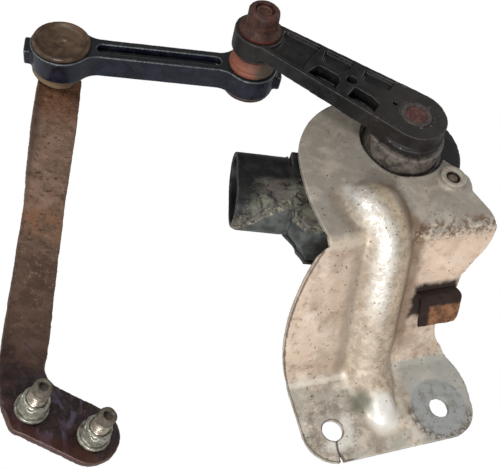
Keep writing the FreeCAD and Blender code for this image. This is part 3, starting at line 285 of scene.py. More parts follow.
def bracketFinish():
    # dull zinc: the grey plate, warm web and pale foot are one metal painted as lit and shaded copies by how
    # each face lies; painted highlights and shade on the rib, brown stains at the folds, bolt-head marks
    look = {key: srgb(*value) for key, value in bracketLook.items()}
    f = Finish("zincPlate")
    height = f.along((0, 0, 1))
    fromBead = f.along((1, 0, 0), (layout["beadX"], 0, 0))
    back = f.along((0, 1, 0))
    onWeb = f.between(f.ragged(height, 5.0, 0.8), 4.5, 61.0, 2.0)
    onPlate = f.step(height, 58.0, 64.0)
    # painted light and shade: a darker plate, a lighter web and a pale foot, by how each face lies to the
    # light
    colour = f.blend(f.step(height, 30.0, 50.0), look["foot"], look["plate"])
    colour = f.blend(onWeb, colour, look["web"])
    rest = f.sums("SUBTRACT", 1.0, f.sums("MULTIPLY", onPlate, 0.6))
    clouds = f.noise(15.0, 5.0, 0.55, 0.3)
    colour = f.blend(f.both(f.step(clouds, 0.44, 0.66, 0.0, 0.5), rest), colour, srgb(138, 118, 98))
    pale = f.noise(10.0, 7.0, 0.62, 0.2, (0.4, 0.1, 0.2))
    colour = f.blend(f.both(f.step(pale, 0.48, 0.68, 0.0, 0.6), rest), colour, srgb(236, 222, 206))
    mottle = f.noise(3.4, 8.0, 0.68, 0.3, (0.6, 0.2, 0.7))
    colour = f.blend(f.both(f.step(mottle, 0.52, 0.68, 0.0, 0.55), rest), colour, srgb(128, 104, 82))
    colour = f.blend(f.both(f.step(mottle, 0.48, 0.36, 0.0, 0.25), rest), colour, srgb(232, 224, 212))

    # the web has painted shade beside the rib on its left, and is lighter high on its right
    leftWebShade = f.both(f.between(f.ragged(fromBead, 8.0, 4.0), -24.0, -12.0, 4.0), onWeb)
    colour = f.blend(f.sums("MULTIPLY", leftWebShade, 0.3), colour, srgb(142, 124, 106))
    rightWeb = f.both(f.step(fromBead, 14.0, 20.0), f.between(height, 40.0, 60.0, 6.0))
    colour = f.blend(f.sums("MULTIPLY", rightWeb, 0.4), colour, srgb(236, 208, 184))

    # the rib: painted shade on its left flank, a painted highlight on its hammered crest above, duller
    # below, brown painted shade on its right flank, a painted highlight on its nose, painted shadow beside
    # the nose
    beadZone = f.both(f.step(height, 2.8, 6.0), f.step(back, 70.0, 76.0, 1.0, 0.0))
    ribLine = f.ragged(f.sums("ADD", fromBead, f.step(back, 46.0, 66.0, 0.0, 5.0)), 6.0, 1.8)
    ribBody = f.both(f.between(ribLine, -13.5, 7.0, 2.0), beadZone)
    ribTone = f.blend(f.step(f.noise(3.0, 7.0, 0.7, 0.4, (0.2, 0.6, 0.9)), 0.42, 0.6), srgb(150, 136, 118),
                      srgb(190, 176, 156))
    colour = f.blend(f.sums("MULTIPLY", ribBody, 0.7), colour, ribTone)
    # painted highlight along the crest, strongest high up
    crestHighlight = f.both(f.between(ribLine, -7.5, -1.0, 2.4), beadZone,
                        f.step(f.ragged(height, 8.0, 5.0), 30.0, 44.0, 0.12, 1.0))
    # brown painted shade on the rib's right flank
    flankShade = f.both(f.between(ribLine, 6.5, 15.5, 2.0), beadZone, f.step(height, 8.0, 20.0),
                        f.step(height, 70.0, 74.0, 1.0, 0.0))
    # painted shade on the rib's left flank
    shadeShare = f.both(f.between(ribLine, -15.5, -10.5, 1.8), beadZone,
                        f.step(height, 60.0, 66.0, 0.5, 0.6))
    tanShare = f.both(f.between(ribLine, 2.0, 6.5, 2.4), beadZone, f.step(height, 16.0, 30.0), 0.25)
    colour = f.blend(tanShare, colour, srgb(206, 178, 138))
    colour = f.blend(shadeShare, colour, srgb(126, 114, 100))
    colour = f.blend(f.sums("MULTIPLY", flankShade, 0.7), colour, look["flank"])
    tan = f.both(f.step(f.noise(3.0, 7.0, 0.7, 0.5, (0.3, 0.1, 0.5)), 0.46, 0.6), 0.5)
    colour = f.blend(f.sums("MULTIPLY", crestHighlight, 0.85), colour,
                     f.blend(tan, look["bright"], srgb(196, 178, 152)))
    # painted highlight on the rib's nose
    fromNose = f.ragged(f.away((layout["beadX"] - 1.0, 1.5, 6.0), (1, 0.8, 1)), 4.0, 1.5)
    noseHighlight = f.step(fromNose, 4.5, 9.5, 1.0, 0.0)
    colour = f.blend(noseHighlight, colour, look["bright"])
    roundNose = f.ragged(f.away((layout["beadX"] + 1.0, 2.0, 6.0)), 3.0, 1.0)
    warmNose = f.both(f.between(roundNose, 8.0, 10.0, 2.0), 0.22)
    colour = f.blend(warmNose, colour, srgb(226, 192, 148))
    # painted shadow on the left of the rib's nose
    noseShadow = f.step(f.ragged(f.away((layout["beadX"] - 9.5, 8.0, 6.0)), 3.0, 1.5), 3.0, 7.5, 1.0, 0.0)
    colour = f.blend(f.sums("MULTIPLY", noseShadow, 0.9), colour, srgb(98, 100, 84))

    # brown stains where dirt sat in the upper fold, a painted highlight along the upper fold left of the
    # rib, and a painted highlight along the lower fold
    foldDistance = f.ragged(f.away((0, layout["foldY"] - 0.5, 63.0), (0, 1, 1)), 4.0, 3.0)
    rightOfBead = f.step(fromBead, 7.0, 12.0)
    foldSpots = f.both(f.step(foldDistance, 2.0, 6.0, 1.0, 0.0),
                       f.step(f.noise(3.2, 8.0, 0.7, 0.6), 0.44, 0.58))
    colour = f.blend(f.both(foldSpots, rightOfBead, 0.75), colour, look["stain"])
    creamSpots = f.both(f.step(foldDistance, 2.0, 5.0, 1.0, 0.0),
                        f.step(f.noise(2.6, 6.0, 0.6, 0.2, (0.8, 0.8, 0.1)), 0.52, 0.62), rightOfBead)
    colour = f.blend(f.sums("MULTIPLY", creamSpots, 0.42), colour, srgb(240, 226, 198))
    # painted highlight along the upper fold, left of the rib
    colour = f.blend(f.both(f.step(foldDistance, 1.0, 4.0, 1.0, 0.0), f.step(rightOfBead, 1.0, 0.0), 0.5),
                     colour, srgb(224, 206, 184))
    # painted highlight along the lower fold
    lowFoldHighlight = f.step(f.ragged(f.away((0, 21.0, 3.0), (0, 1, 1)), 5.0, 1.4), 0.5, 1.8, 0.4, 0.0)
    colour = f.blend(lowFoldHighlight, colour, srgb(232, 224, 210))

    # dark rust and painted shadow round the hook
    hookX = f.sums("MAXIMUM", f.sums("SUBTRACT", hookBox["left"], f.along((1, 0, 0))),
                   f.along((1, 0, 0), (hookBox["right"], 0, 0)))
    hookZ = f.sums("MAXIMUM", f.sums("SUBTRACT", hookBox["foot"], height),
                   f.sums("SUBTRACT", height, hookBox["top"]))
    fromHook = f.ragged(f.sums("MAXIMUM", hookX, hookZ), 4.0, 2.2)
    colour = f.blend(f.both(f.step(fromHook, -0.6, 2.2, 0.97, 0.0), onWeb), colour, srgb(30, 17, 11))

    # bolt-head marks round the two holes, on a smooth grey right end, and a painted highlight by the left
    # hole
    fromRight = f.away((0, 0, 0), (1, 1, 0))
    fromLeft = f.away((layout["leftHoleX"], 0, 0), (1, 1, 0))
    below = f.step(height, 3.4, 4.2, 1.0, 0.0)
    rightEnd = f.both(f.step(f.ragged(f.along((1, 0, 0)), 6.0, 2.0), -14.0, -9.0), below)
    colour = f.blend(f.sums("MULTIPLY", rightEnd, 0.7), colour, srgb(162, 162, 156))
    washer = f.both(f.step(f.ragged(fromRight, 5.0, 0.6), 12.2, 13.0, 1.0, 0.0), below)
    headPrint = f.blend(f.step(mottle, 0.46, 0.64), look["washer"], srgb(128, 126, 118))
    colour = f.blend(f.sums("MULTIPLY", washer, 0.85), colour, headPrint)
    grime = f.step(f.noise(2.0, 7.0, 0.7, 0.8, (0.3, 0.3, 0.0)), 0.43, 0.55)
    frontSide = f.step(f.along((0.25, 0.97, 0)), 3.0, -3.0)
    rightRim = f.both(f.between(f.ragged(fromRight, 3.0, 1.4), 11.8, 14.8, 0.9), grime, below, frontSide)
    leftRim = f.both(f.between(f.ragged(fromLeft, 4.0, 2.4), 6.5, 12.0, 2.4), grime, below, 0.6)
    colour = f.blend(f.sums("MULTIPLY", f.sums("MAXIMUM", rightRim, leftRim), 0.75), colour, look["speck"])
    # painted highlight in a ring by the left hole
    leftSide = f.step(f.along((1, -1, 0), (layout["leftHoleX"], 0, 0)), -2.0, 3.0)
    colour = f.blend(f.both(f.between(f.ragged(fromLeft, 4.0, 2.2), 4.4, 9.0, 2.0), below, leftSide, 0.5),
                     colour, look["bright"])

    # the crack from the left hole to the edge, painted dark as shade in the gap
    swing = f.sums("ADD", f.step(back, -3.8, -8.0, 0.0, 0.62), f.step(back, -8.0, -13.0, 0.0, -0.45))
    fromCrack = f.ragged(f.sums("ADD", f.along((1, 0, 0), (layout["leftHoleX"], 0, 0)), swing), 1.6, 0.5)
    crackShade = f.both(f.between(fromCrack, -0.5, 0.5, 0.3), f.step(back, -3.4, -4.2), below, 0.85)
    colour = f.blend(crackShade, colour, srgb(44, 36, 30))

    # dark specks all over, more of them on the rib; a painted highlight on the edges that stand out, a dark
    # line along the web's left edge, and painted shade in the creases
    specks = f.both(f.step(f.cells(1.9), 0.14, 0.26, 1.0, 0.0),
                    f.step(f.noise(6.0, 5.0, 0.65, 0.0, (0.5, 0.5, 0.1)), 0.49, 0.6))
    ribSpecks = f.both(f.step(f.noise(1.5, 5.0, 0.65, 0.3, (0.2, 0.1, 0.4), (0.7, 1.2, 1.2)), 0.6, 0.68),
                       ribBody, 0.7,
                       f.step(f.noise(7.0, 4.0, 0.6, 0.0, (0.1, 0.7, 0.3)), 0.4, 0.56))
    colour = f.blend(f.sums("MULTIPLY", f.sums("MAXIMUM", specks, ribSpecks), 0.8), colour, look["speck"])
    # painted highlight on the edges that stand out, broken up by noise
    edge = f.step(f.ragged(f.crest(), 2.0, 0.12), 0.22, 0.5)
    edgeHighlight = f.both(edge, f.step(f.noise(5.0, 5.0, 0.6, 0.0, (0.9, 0.1, 0.4)), 0.4, 0.56))
    colour = f.blend(edgeHighlight, colour, srgb(222, 214, 202))
    darkEdge = f.both(f.step(f.ragged(f.crest(), 2.0, 0.08), 0.06, 0.24),
                      f.step(fromBead, -20.0, -16.0, 1.0, 0.0), f.step(height, 63.0, 61.0), 0.8)
    colour = f.blend(darkEdge, colour, srgb(66, 52, 42))
    # painted shade in the creases and hollows
    corner = f.step(f.crest(), -0.45, -0.12, 0.75, 0.0)
    colour = f.blend(corner, colour, srgb(96, 78, 60))

    # painted shade in the sensor's screw hole and its thread
    screwX, screwY = 9.513, 70.932
    socket = f.step(f.away((screwX, screwY, 0), (1, 1, 0)), 2.7, 3.3, 1.0, 0.0)
    colour = f.blend(socket, colour, srgb(34, 26, 22))

    shine = f.sums("MAXIMUM", crestHighlight, noseHighlight)
    rough = f.step(f.noise(5.0, 6.0, 0.6), 0.3, 0.7, 0.52, 0.7)
    rough = f.sums("SUBTRACT", rough, f.sums("MULTIPLY", shine, 0.24), True)
    metal = f.sums("ADD", f.sums("MULTIPLY", shine, 0.15), 0.25)
    bump = f.relief(f.noise(7.0, 4.0, 0.5, 0.3), 0.3, 0.35)
    bump = f.relief(f.noise(1.1, 6.0, 0.7), 0.07, 0.6, bump)
    bump = f.relief(specks, -0.08, 0.6, bump)
    bump = f.relief(ribSpecks, -0.12, 0.9, bump)
    dents = f.both(f.noise(2.4, 3.0, 0.5, 0.6, (0.1, 0.4, 0.3)), crestHighlight)
    bump = f.relief(dents, 0.6, 0.9, bump)
    return f.finish(colour, rough, metal, bump)


def rustFinish(name, dark, mid, light, size=3.0, metallic=0.1, shine=0.0):
    # scaly rust: dark body, warm patches, pale crumbs, rough everywhere, with painted shade darkest in the
    # corners
    f = Finish(name)
    big = f.noise(size * 2.4, 8.0, 0.7, 0.5)
    small = f.noise(size * 0.45, 8.0, 0.75, 0.3)
    colour = f.blend(f.step(big, 0.38, 0.62), srgb(*dark), srgb(*mid))
    colour = f.blend(f.step(small, 0.54, 0.72, 0.0, 0.75), colour, srgb(*light))
    # painted shade in the corners
    colour = f.blend(f.step(f.crest(), -0.35, -0.06, 0.8, 0.0), colour, srgb(*[v * 0.45 for v in dark]))
    colour = f.blend(f.step(f.crest(), 0.1, 0.5, 0.0, 0.45), colour, srgb(*light))
    rough = f.step(big, 0.3, 0.7, 0.85 - shine, 0.66 - shine)
    bump = f.relief(big, 0.2, 0.6)
    bump = f.relief(small, 0.12, 0.8, bump)
    return f.finish(colour, rough, metallic, bump)


def hookFinish():
    # the hook: orange-brown face, almost black at its root, along its left side and along its top, where
    # dark rust and painted shadow lie together
    f = Finish("rustHook")
    flakes = f.noise(5.0, 8.0, 0.7, 0.5)
    crumbs = f.noise(1.2, 7.0, 0.75)
    colour = f.blend(f.step(flakes, 0.36, 0.62), srgb(84, 56, 38), srgb(142, 98, 66))
    colour = f.blend(f.step(crumbs, 0.55, 0.72, 0.0, 0.7), colour, srgb(190, 148, 110))
    fromLeft = f.along((1, 0, 0), (hookBox["left"], 0, 0))
    fromTop = f.sums("SUBTRACT", hookBox["top"], f.along((0, 0, 1)))
    lean = math.radians(24.0)
    outward = f.along((0, -math.cos(lean), math.sin(lean)), (0, layout["foldY"], shaftFoot[2]))
    # dark rust and painted shadow along the left side, the top and the root
    side = f.step(f.ragged(fromLeft, 3.0, 0.9), 3.6, 5.2, 1.0, 0.0)
    top = f.step(f.ragged(fromTop, 3.0, 0.9), 2.6, 4.2, 1.0, 0.0)
    root = f.step(f.ragged(outward, 3.0, 1.0), 2.8, 5.2, 1.0, 0.0)
    dark = f.sums("MAXIMUM", f.sums("MAXIMUM", side, top), root)
    colour = f.blend(f.sums("MULTIPLY", dark, 0.95), colour, srgb(26, 14, 10))
    # painted shade in the corners
    colour = f.blend(f.step(f.crest(), -0.35, -0.05, 0.8, 0.0), colour, srgb(30, 18, 14))
    bump = f.relief(flakes, 0.25, 0.7)
    bump = f.relief(crumbs, 0.14, 0.8, bump)
    return f.finish(colour, f.step(flakes, 0.3, 0.7, 0.86, 0.7), 0.05, bump)


def leverFinish():
    # black glass-filled plastic: brown film of dust near the ends, grey scuffs with a painted highlight on
    # every edge, painted shade in the corners
    f = Finish("leverPlastic")
    wear = f.noise(6.0, 7.0, 0.65, 0.4)
    fine = f.noise(0.9, 5.0, 0.6)
    along = f.along(polar(1.0, layout["leverHeading"]), shaftFoot)
    colour = f.blend(f.step(wear, 0.42, 0.66), srgb(17, 17, 18), srgb(33, 32, 32))
    film = f.sums("MAXIMUM", f.step(f.ragged(along, 12.0, 8.0), 12.0, 30.0, 0.5, 0.0),
                  f.step(f.ragged(along, 12.0, 8.0), 52.0, 66.0, 0.0, 0.5))
    film = f.both(film, f.step(f.lying(), 0.0, 0.8, 0.55, 1.0))
    colour = f.blend(f.sums("MULTIPLY", film, 0.7), colour, srgb(54, 46, 41))
    # grey scuffs and a painted highlight on the edges
    edge = f.step(f.ragged(f.crest(), 1.6, 0.14), 0.14, 0.46)
    colour = f.blend(f.sums("MULTIPLY", edge, 0.5), colour, srgb(104, 100, 100))
    spots = f.both(f.step(f.noise(2.2, 6.0, 0.7, 0.5, (0.2, 0.5, 0.8)), 0.6, 0.68),
                   f.step(f.crest(), -0.05, 0.1), film)
    colour = f.blend(f.sums("MULTIPLY", spots, 0.9), colour, srgb(164, 158, 150))
    # painted shade in the corners
    colour = f.blend(f.step(f.crest(), -0.3, -0.08, 0.85, 0.0), colour, srgb(11, 11, 12))
    rough = f.sums("ADD", f.step(wear, 0.3, 0.7, 0.34, 0.48), f.sums("MULTIPLY", film, 0.2), True)
    bump = f.relief(wear, 0.08, 0.4)
    bump = f.relief(fine, 0.03, 0.6, bump)
    return f.finish(colour, rough, 0.0, bump, 0.3)


def linkFinish():
    # navy-black glossy plastic, greyer on the top faces with dust grains, pale scuffs on the edges, painted
    # shade in the groove and corners
    f = Finish("linkPlastic")
    wear = f.noise(5.0, 7.0, 0.65, 0.4)
    colour = f.blend(f.step(wear, 0.4, 0.66), srgb(13, 15, 26), srgb(29, 32, 47))
    top = f.step(f.lying(), 0.6, 0.9)
    colour = f.blend(f.sums("MULTIPLY", top, 0.75), colour, srgb(24, 26, 26))
    edge = f.step(f.ragged(f.crest(), 1.6, 0.12), 0.12, 0.42)
    colour = f.blend(f.sums("MULTIPLY", edge, 0.7), colour, srgb(118, 126, 124))
    grains = f.both(f.step(f.noise(1.3, 7.0, 0.7, 0.6, (0.3, 0.3, 0.9)), 0.6, 0.7), top)
    colour = f.blend(f.sums("MULTIPLY", grains, 0.7), colour, srgb(120, 116, 104))
    # painted shade in the groove and corners
    colour = f.blend(f.step(f.crest(), -0.3, -0.08, 0.8, 0.0), colour, srgb(10, 11, 12))
    rough = f.step(wear, 0.3, 0.7, 0.24, 0.4)
    bump = f.relief(wear, 0.07, 0.4)
    bump = f.relief(f.noise(0.8, 5.0, 0.6), 0.025, 0.5, bump)
    return f.finish(colour, rough, 0.0, bump)


def housingFinish():
    # black housing: grey-brown neck, and a plug shroud with a dusty band over a grey-green lower bulge; a
    # painted highlight along the ridge between them, painted shade in the corners and down the plug's mouth
    f = Finish("housingPlastic")
    wear = f.noise(6.0, 7.0, 0.65, 0.5)
    colour = f.blend(f.step(wear, 0.42, 0.66), srgb(15, 15, 16), srgb(33, 32, 31))
    fromShaft = f.away(layout["shaft"], (1, 1, 0))
    height = f.along((0, 0, 1), layout["shaft"])
    neck = f.both(f.step(fromShaft, 17.4, 18.4, 1.0, 0.0), f.step(height, -6.0, -1.0))
    neckTone = f.blend(f.step(f.noise(3.6, 7.0, 0.7, 0.4), 0.36, 0.62), srgb(62, 56, 51),
                       srgb(112, 103, 96))
    colour = f.blend(f.sums("MULTIPLY", neck, 0.95), colour, neckTone)

    outward = f.along(plugOut, shaftFoot)
    aside = f.along(plugSide, shaftFoot)
    nearSide = f.step(aside, -28.0, -23.0, 1.0, 0.0)
    bend = f.sums("SUBTRACT", f.sums("MAXIMUM", outward, 48.0), 48.0)
    ridge = f.sums("ADD", f.sums("ADD", height, 7.0), f.both(bend, bend, 0.036))
    onShroud = f.step(outward, 27.0, 33.0)
    upper = f.sums("MULTIPLY", onShroud, f.step(aside, -22.0, -26.0))
    patches = f.noise(4.5, 8.0, 0.7, 0.8, (0.7, 0.2, 0.3))
    dust = f.blend(f.step(f.noise(6.0, 4.0, 0.6, 0.0, (0.3, 0.8, 0.2)), 0.42, 0.6), srgb(92, 84, 78),
                   srgb(112, 114, 98))
    dustShare = f.both(f.step(ridge, 11.0, 4.0), upper, f.step(patches, 0.36, 0.56))
    colour = f.blend(f.sums("MULTIPLY", dustShare, 0.85), colour, dust)
    lower = f.both(f.step(ridge, 0.2, -0.8), nearSide, onShroud)
    lowerTone = f.blend(f.step(f.noise(7.0, 5.0, 0.6, 0.3, (0.1, 0.1, 0.8)), 0.4, 0.62), srgb(46, 49, 49),
                        srgb(80, 84, 82))
    colour = f.blend(f.sums("MULTIPLY", lower, 0.9), colour, lowerTone)
    # painted highlight along the ridge, broken into crumbs by noise
    crumbs = f.both(f.step(f.noise(1.6, 8.0, 0.72, 0.8), 0.5, 0.62), f.between(ridge, -0.9, 1.2, 0.6),
                    upper)
    mouthDust = f.both(f.step(f.noise(1.3, 8.0, 0.75, 0.8, (0.4, 0.4, 0.4)), 0.5, 0.62),
                       f.step(outward, 60.0, 67.0), upper, f.step(ridge, 13.0, 6.0))
    # the painted ridge highlight and the dust at the mouth together
    pale = f.sums("MAXIMUM", crumbs, f.sums("MULTIPLY", mouthDust, 0.7))
    colour = f.blend(f.sums("MULTIPLY", pale, 0.8), colour, srgb(164, 162, 140))
    edge = f.step(f.ragged(f.crest(), 1.6, 0.12), 0.16, 0.5)
    colour = f.blend(f.sums("MULTIPLY", edge, 0.45), colour, srgb(120, 116, 108))
    # painted shade in the corners
    colour = f.blend(f.step(f.crest(), -0.35, -0.1, 0.85, 0.0), colour, srgb(10, 9, 9))
    # painted shade down the plug's mouth
    throat = f.both(f.step(outward, 47.0, 47.6),
                    f.step(f.plugRadius(outward, aside, height), 9.8, 10.3, 1.0, 0.0))
    colour = f.blend(throat, colour, srgb(7, 7, 8))
    rough = f.step(wear, 0.3, 0.7, 0.4, 0.58)
    bump = f.relief(wear, 0.1, 0.5)
    bump = f.relief(pale, 0.15, 0.6, bump)
    return f.finish(colour, rough, 0.0, bump, 0.3)


def plasticFinish(name, base, dust, amount=0.5, shine=0.42, size=5.0):
    # moulded plastic or rubber, scuffed, with road dust where it can settle, and painted shade in the
    # corners
    f = Finish(name)
    scuff = f.noise(size, 8.0, 0.7, 0.4)
    fine = f.noise(0.9, 5.0, 0.6)
    settled = f.both(f.step(f.noise(size * 1.6, 7.0, 0.65, 0.5, (0.2, 0.4, 0.1)), 0.38, 0.66),
                     f.step(f.lying(), -0.4, 0.9, 0.4, 1.0), amount)
    colour = f.blend(f.step(scuff, 0.42, 0.68, 0.0, 0.5), srgb(*base), srgb(*[v * 1.35 + 8 for v in base]))
    colour = f.blend(settled, colour, srgb(*dust))
    colour = f.blend(f.sums("MULTIPLY", f.step(fine, 0.6, 0.72), 0.35 * amount), colour, srgb(*dust))
    # painted shade in the corners
    colour = f.blend(f.step(f.crest(), -0.35, -0.08, 0.7, 0.0), colour, srgb(*[v * 0.35 for v in base]))
    rough = f.sums("ADD", f.step(scuff, 0.3, 0.7, shine - 0.08, shine + 0.1),
                   f.sums("MULTIPLY", settled, 0.3), True)
    bump = f.relief(scuff, 0.08, 0.4)
    bump = f.relief(fine, 0.03, 0.5, bump)
    return f.finish(colour, rough, 0.0, bump)


def platedFinish(name, bright, dull, stain, amount=0.4, centre=None, axis=(0, 0, 1), tipAt=None):
    # dusty zinc on fasteners with brown dirt, and painted shade in the corners in the same brown; past tipAt
    # along the axis it has rusted dark
    f = Finish(name)
    tone = f.noise(2.2, 8.0, 0.7, 0.5)
    colour = f.blend(f.step(tone, 0.35, 0.65), srgb(*dull), srgb(*bright))
    dirtAndShade = f.step(f.noise(3.2, 8.0, 0.7, 0.7, (0.1, 0.6, 0.3)), 0.6 - amount * 0.25, 0.7)
    # painted shade in the corners, in the dirt's brown
    dirtAndShade = f.sums("MAXIMUM", dirtAndShade, f.step(f.crest(), -0.3, -0.06, 1.0, 0.0))
    if tipAt is not None:
        dirtAndShade = f.sums("MAXIMUM", dirtAndShade,
                      f.step(f.ragged(f.along(axis, centre), 2.0, 1.2), tipAt - 1.2, tipAt + 1.0, 0.0, 0.9))
    colour = f.blend(f.sums("MULTIPLY", dirtAndShade, 0.85), colour, srgb(*stain))
    rough = f.step(dirtAndShade, 0.0, 1.0, 0.34, 0.75)
    metal = f.step(dirtAndShade, 0.0, 1.0, 0.6, 0.1)
    bump = f.relief(f.noise(0.8, 6.0, 0.7), 0.06, 0.6)
    return f.finish(colour, rough, metal, bump)


strapLook = {
    "pitted": (122, 84, 60),
    "worn": (142, 114, 97),
    "rusty": (100, 76, 62),
    "scale": (56, 34, 29),
    "pit": (52, 24, 14),
    "glint": (96, 88, 112),
}


def strapFinish():
    # the strap: pitted rust at the link, grey-brown worn leg, rust again, then dark glossy scale on the foot
    # with a painted bluish sheen between the studs
    look = {key: srgb(*value) for key, value in strapLook.items()}
    f = Finish("strapWorn")
    down = f.ragged(f.along([-v for v in strapBack], strapFoot), 16.0, 18.0)
    across = f.along(strapSide, strapFoot)
    flecks = f.noise(2.4, 8.0, 0.75, 0.5)
    clouds = f.noise(8.0, 8.0, 0.68, 0.5, (0.3, 0.2, 0.6))
    grey = f.blend(f.step(clouds, 0.38, 0.62), srgb(112, 88, 70), look["worn"])
    rusty = f.blend(f.step(clouds, 0.4, 0.6), srgb(80, 58, 46), look["rusty"])
    scale = f.blend(f.step(clouds, 0.42, 0.66), srgb(32, 18, 18), look["scale"])
    colour = f.blend(f.step(down, 10.0, 34.0), look["pitted"], grey)
    colour = f.blend(f.step(down, 78.0, 104.0), colour, rusty)
    band = f.both(f.between(down, 76.0, 88.0, 5.0), f.step(clouds, 0.36, 0.6), 0.75)
    colour = f.blend(band, colour, srgb(134, 88, 56))
    colour = f.blend(f.step(down, 126.0, 146.0), colour, scale)
    fineRust = f.noise(1.0, 8.0, 0.8, 0.3, (0.2, 0.9, 0.4))
    colour = f.blend(f.step(fineRust, 0.5, 0.68, 0.0, 0.42), colour, srgb(68, 48, 38))
    pits = f.both(f.step(flecks, 0.54, 0.64), f.step(down, 60.0, 130.0, 0.95, 0.55))
    colour = f.blend(pits, colour, look["pit"])
    pale = f.both(f.step(f.noise(1.5, 8.0, 0.78, 0.6, (0.6, 0.1, 0.2)), 0.54, 0.66),
                  f.step(down, 110.0, 135.0, 0.5, 0.14))
    colour = f.blend(pale, colour, srgb(178, 152, 126))
    flakes = f.noise(1.9, 9.0, 0.8, 1.0, (0.3, 0.5, 0.7))
    flaked = f.step(down, 30.0, 10.0)
    colour = f.blend(f.both(f.step(flakes, 0.5, 0.58), flaked, 0.85), colour, srgb(48, 26, 16))
    colour = f.blend(f.both(f.step(flakes, 0.44, 0.37), flaked, 0.6), colour, srgb(172, 134, 100))
    # painted bluish sheen on the foot, strongest between the studs
    sheen = f.step(f.ragged(f.away(onStrap(16.0, -158.0)), 6.0, 4.0), 15.0, 6.0)
    fewer = f.step(f.noise(4.0, 6.0, 0.65, 0.8, (0.9, 0.4, 0.2), (1, 0.5, 1)), 0.5, 0.64)
    glints = f.both(fewer, f.step(down, 120.0, 136.0), f.sums("ADD", f.sums("MULTIPLY", sheen, 0.45), 0.12))
    colour = f.blend(glints, colour, look["glint"])
    tilt = math.radians(-layout["studFall"])
    downFoot = [-v for v in strapBack * math.cos(tilt) - strapSide * math.sin(tilt)]
    fromStuds = f.ragged(f.along(downFoot, onStrap(*layout["studInner"])), 4.0, 1.6)
    redEdge = f.both(f.step(fromStuds, 3.5, 7.0), f.step(down, 140.0, 150.0), 0.6)
    colour = f.blend(redEdge, colour, srgb(72, 36, 27))
    shade = f.step(f.ragged(across, 4.0, 1.2), -4.2, -1.6, 0.6, 0.0)
    colour = f.blend(shade, colour, srgb(58, 42, 34))
    colour = f.blend(f.both(f.step(f.crest(), 0.15, 0.5), 0.5), colour, srgb(146, 124, 98))
    rough = f.step(clouds, 0.3, 0.7, 0.5, 0.74)
    rough = f.sums("SUBTRACT", rough, f.step(down, 118.0, 140.0, 0.0, 0.22), True)
    bump = f.relief(clouds, 0.2, 0.5)
    bump = f.relief(flecks, 0.16, 0.8, bump)
    return f.finish(colour, rough, 0.15, bump)


def nutFinish():
    # the lever's nut: brown scale, red rust in the joint under its flange and round the stud's end
    f = Finish("nutScale")
    scale = f.noise(4.0, 8.0, 0.7, 0.5)
    crumbs = f.noise(1.0, 7.0, 0.75)
    height = f.along((0, 0, 1), leverEnd + np.array([0, 0, layout["leverTop"]]))
    colour = f.blend(f.step(scale, 0.38, 0.64), srgb(46, 27, 22), srgb(80, 50, 40))
    colour = f.blend(f.step(crumbs, 0.58, 0.74, 0.0, 0.45), colour, srgb(120, 84, 68))
    joint = f.step(f.ragged(height, 3.0, 0.5), 0.2, 1.2, 1.0, 0.0)
    colour = f.blend(f.sums("MULTIPLY", joint, 0.85), colour, srgb(122, 44, 26))
    # painted shade in the corners
    colour = f.blend(f.step(f.crest(), -0.3, -0.06, 0.85, 0.0), colour, srgb(26, 16, 13))
    bump = f.relief(scale, 0.25, 0.6)
    bump = f.relief(crumbs, 0.12, 0.8, bump)
    return f.finish(colour, f.step(scale, 0.3, 0.7, 0.72, 0.56), 0.15, bump)


def bootFinish(name, left, right, centre):
    # dusty rubber bellows, warmer on the left of the joint than on the right, with painted shade dark in its
    # folds
    f = Finish(name)
    side = f.ragged(f.along((0.9, -0.4, 0), centre), 4.0, 2.0)
    mottle = f.noise(3.0, 7.0, 0.68, 0.4)
    colour = f.blend(f.step(side, 0.0, 5.0), srgb(*left), srgb(*right))
    colour = f.blend(f.step(mottle, 0.5, 0.7, 0.0, 0.5), colour, srgb(*[v * 0.62 for v in right]))
    colour = f.blend(f.step(f.noise(1.1, 6.0, 0.7), 0.6, 0.72, 0.0, 0.4), colour, srgb(176, 148, 126))
    # painted shade in the folds
    colour = f.blend(f.step(f.crest(), -0.3, -0.05, 0.75, 0.0), colour, srgb(44, 26, 20))
    bump = f.relief(mottle, 0.12, 0.6)
    return f.finish(colour, 0.62, 0.0, bump)


def plainFinish(name, colour, roughness, metallic=0.0, size=2.0):
    # small inner pieces, seen only if the part is taken apart
    f = Finish(name)
    tone = f.noise(size, 5.0, 0.6)
    mixed = f.blend(f.step(tone, 0.3, 0.7), srgb(*colour), srgb(*[v * 0.8 for v in colour]))
    return f.finish(mixed, roughness, metallic, f.relief(tone, 0.03, 0.4))


bracketZinc = bracketFinish()
rustHook = hookFinish()
rustDeep = rustFinish("rustDeep", (44, 26, 22), (76, 48, 38), (118, 82, 66), 2.4)
insertSteel = rustFinish("insertSteel", (58, 54, 52), (84, 76, 72), (118, 106, 98), 1.6, 0.3)
shaftRust = rustFinish("shaftRust", (66, 38, 34), (96, 60, 52), (122, 86, 76), 1.6)
rustOrange = rustFinish("rustOrange", (58, 34, 28), (96, 60, 46), (150, 112, 92), 2.0, 0.2, 0.15)
capPlastic = plasticFinish("capPlastic", (56, 40, 28), (96, 76, 56), 0.7, 0.34, 4.0)
sleeveSteel = platedFinish("sleeveSteel", (150, 140, 126), (104, 94, 84), (88, 56, 38), 0.8)
screwSteel = platedFinish("screwSteel", (128, 118, 106), (88, 78, 68), (70, 44, 30), 0.9)
studZinc = platedFinish("studZinc", (190, 180, 164), (116, 106, 92), (40, 29, 19), 0.6,
                        strapFoot, strapUp, 11.0)
nutZinc = platedFinish("nutZinc", (190, 188, 174), (118, 118, 106), (60, 42, 32), 0.75)
boardGreen = plainFinish("boardGreen", (46, 98, 58), 0.4)
tinnedBrass = plainFinish("tinnedBrass", (206, 196, 160), 0.3, 0.9)
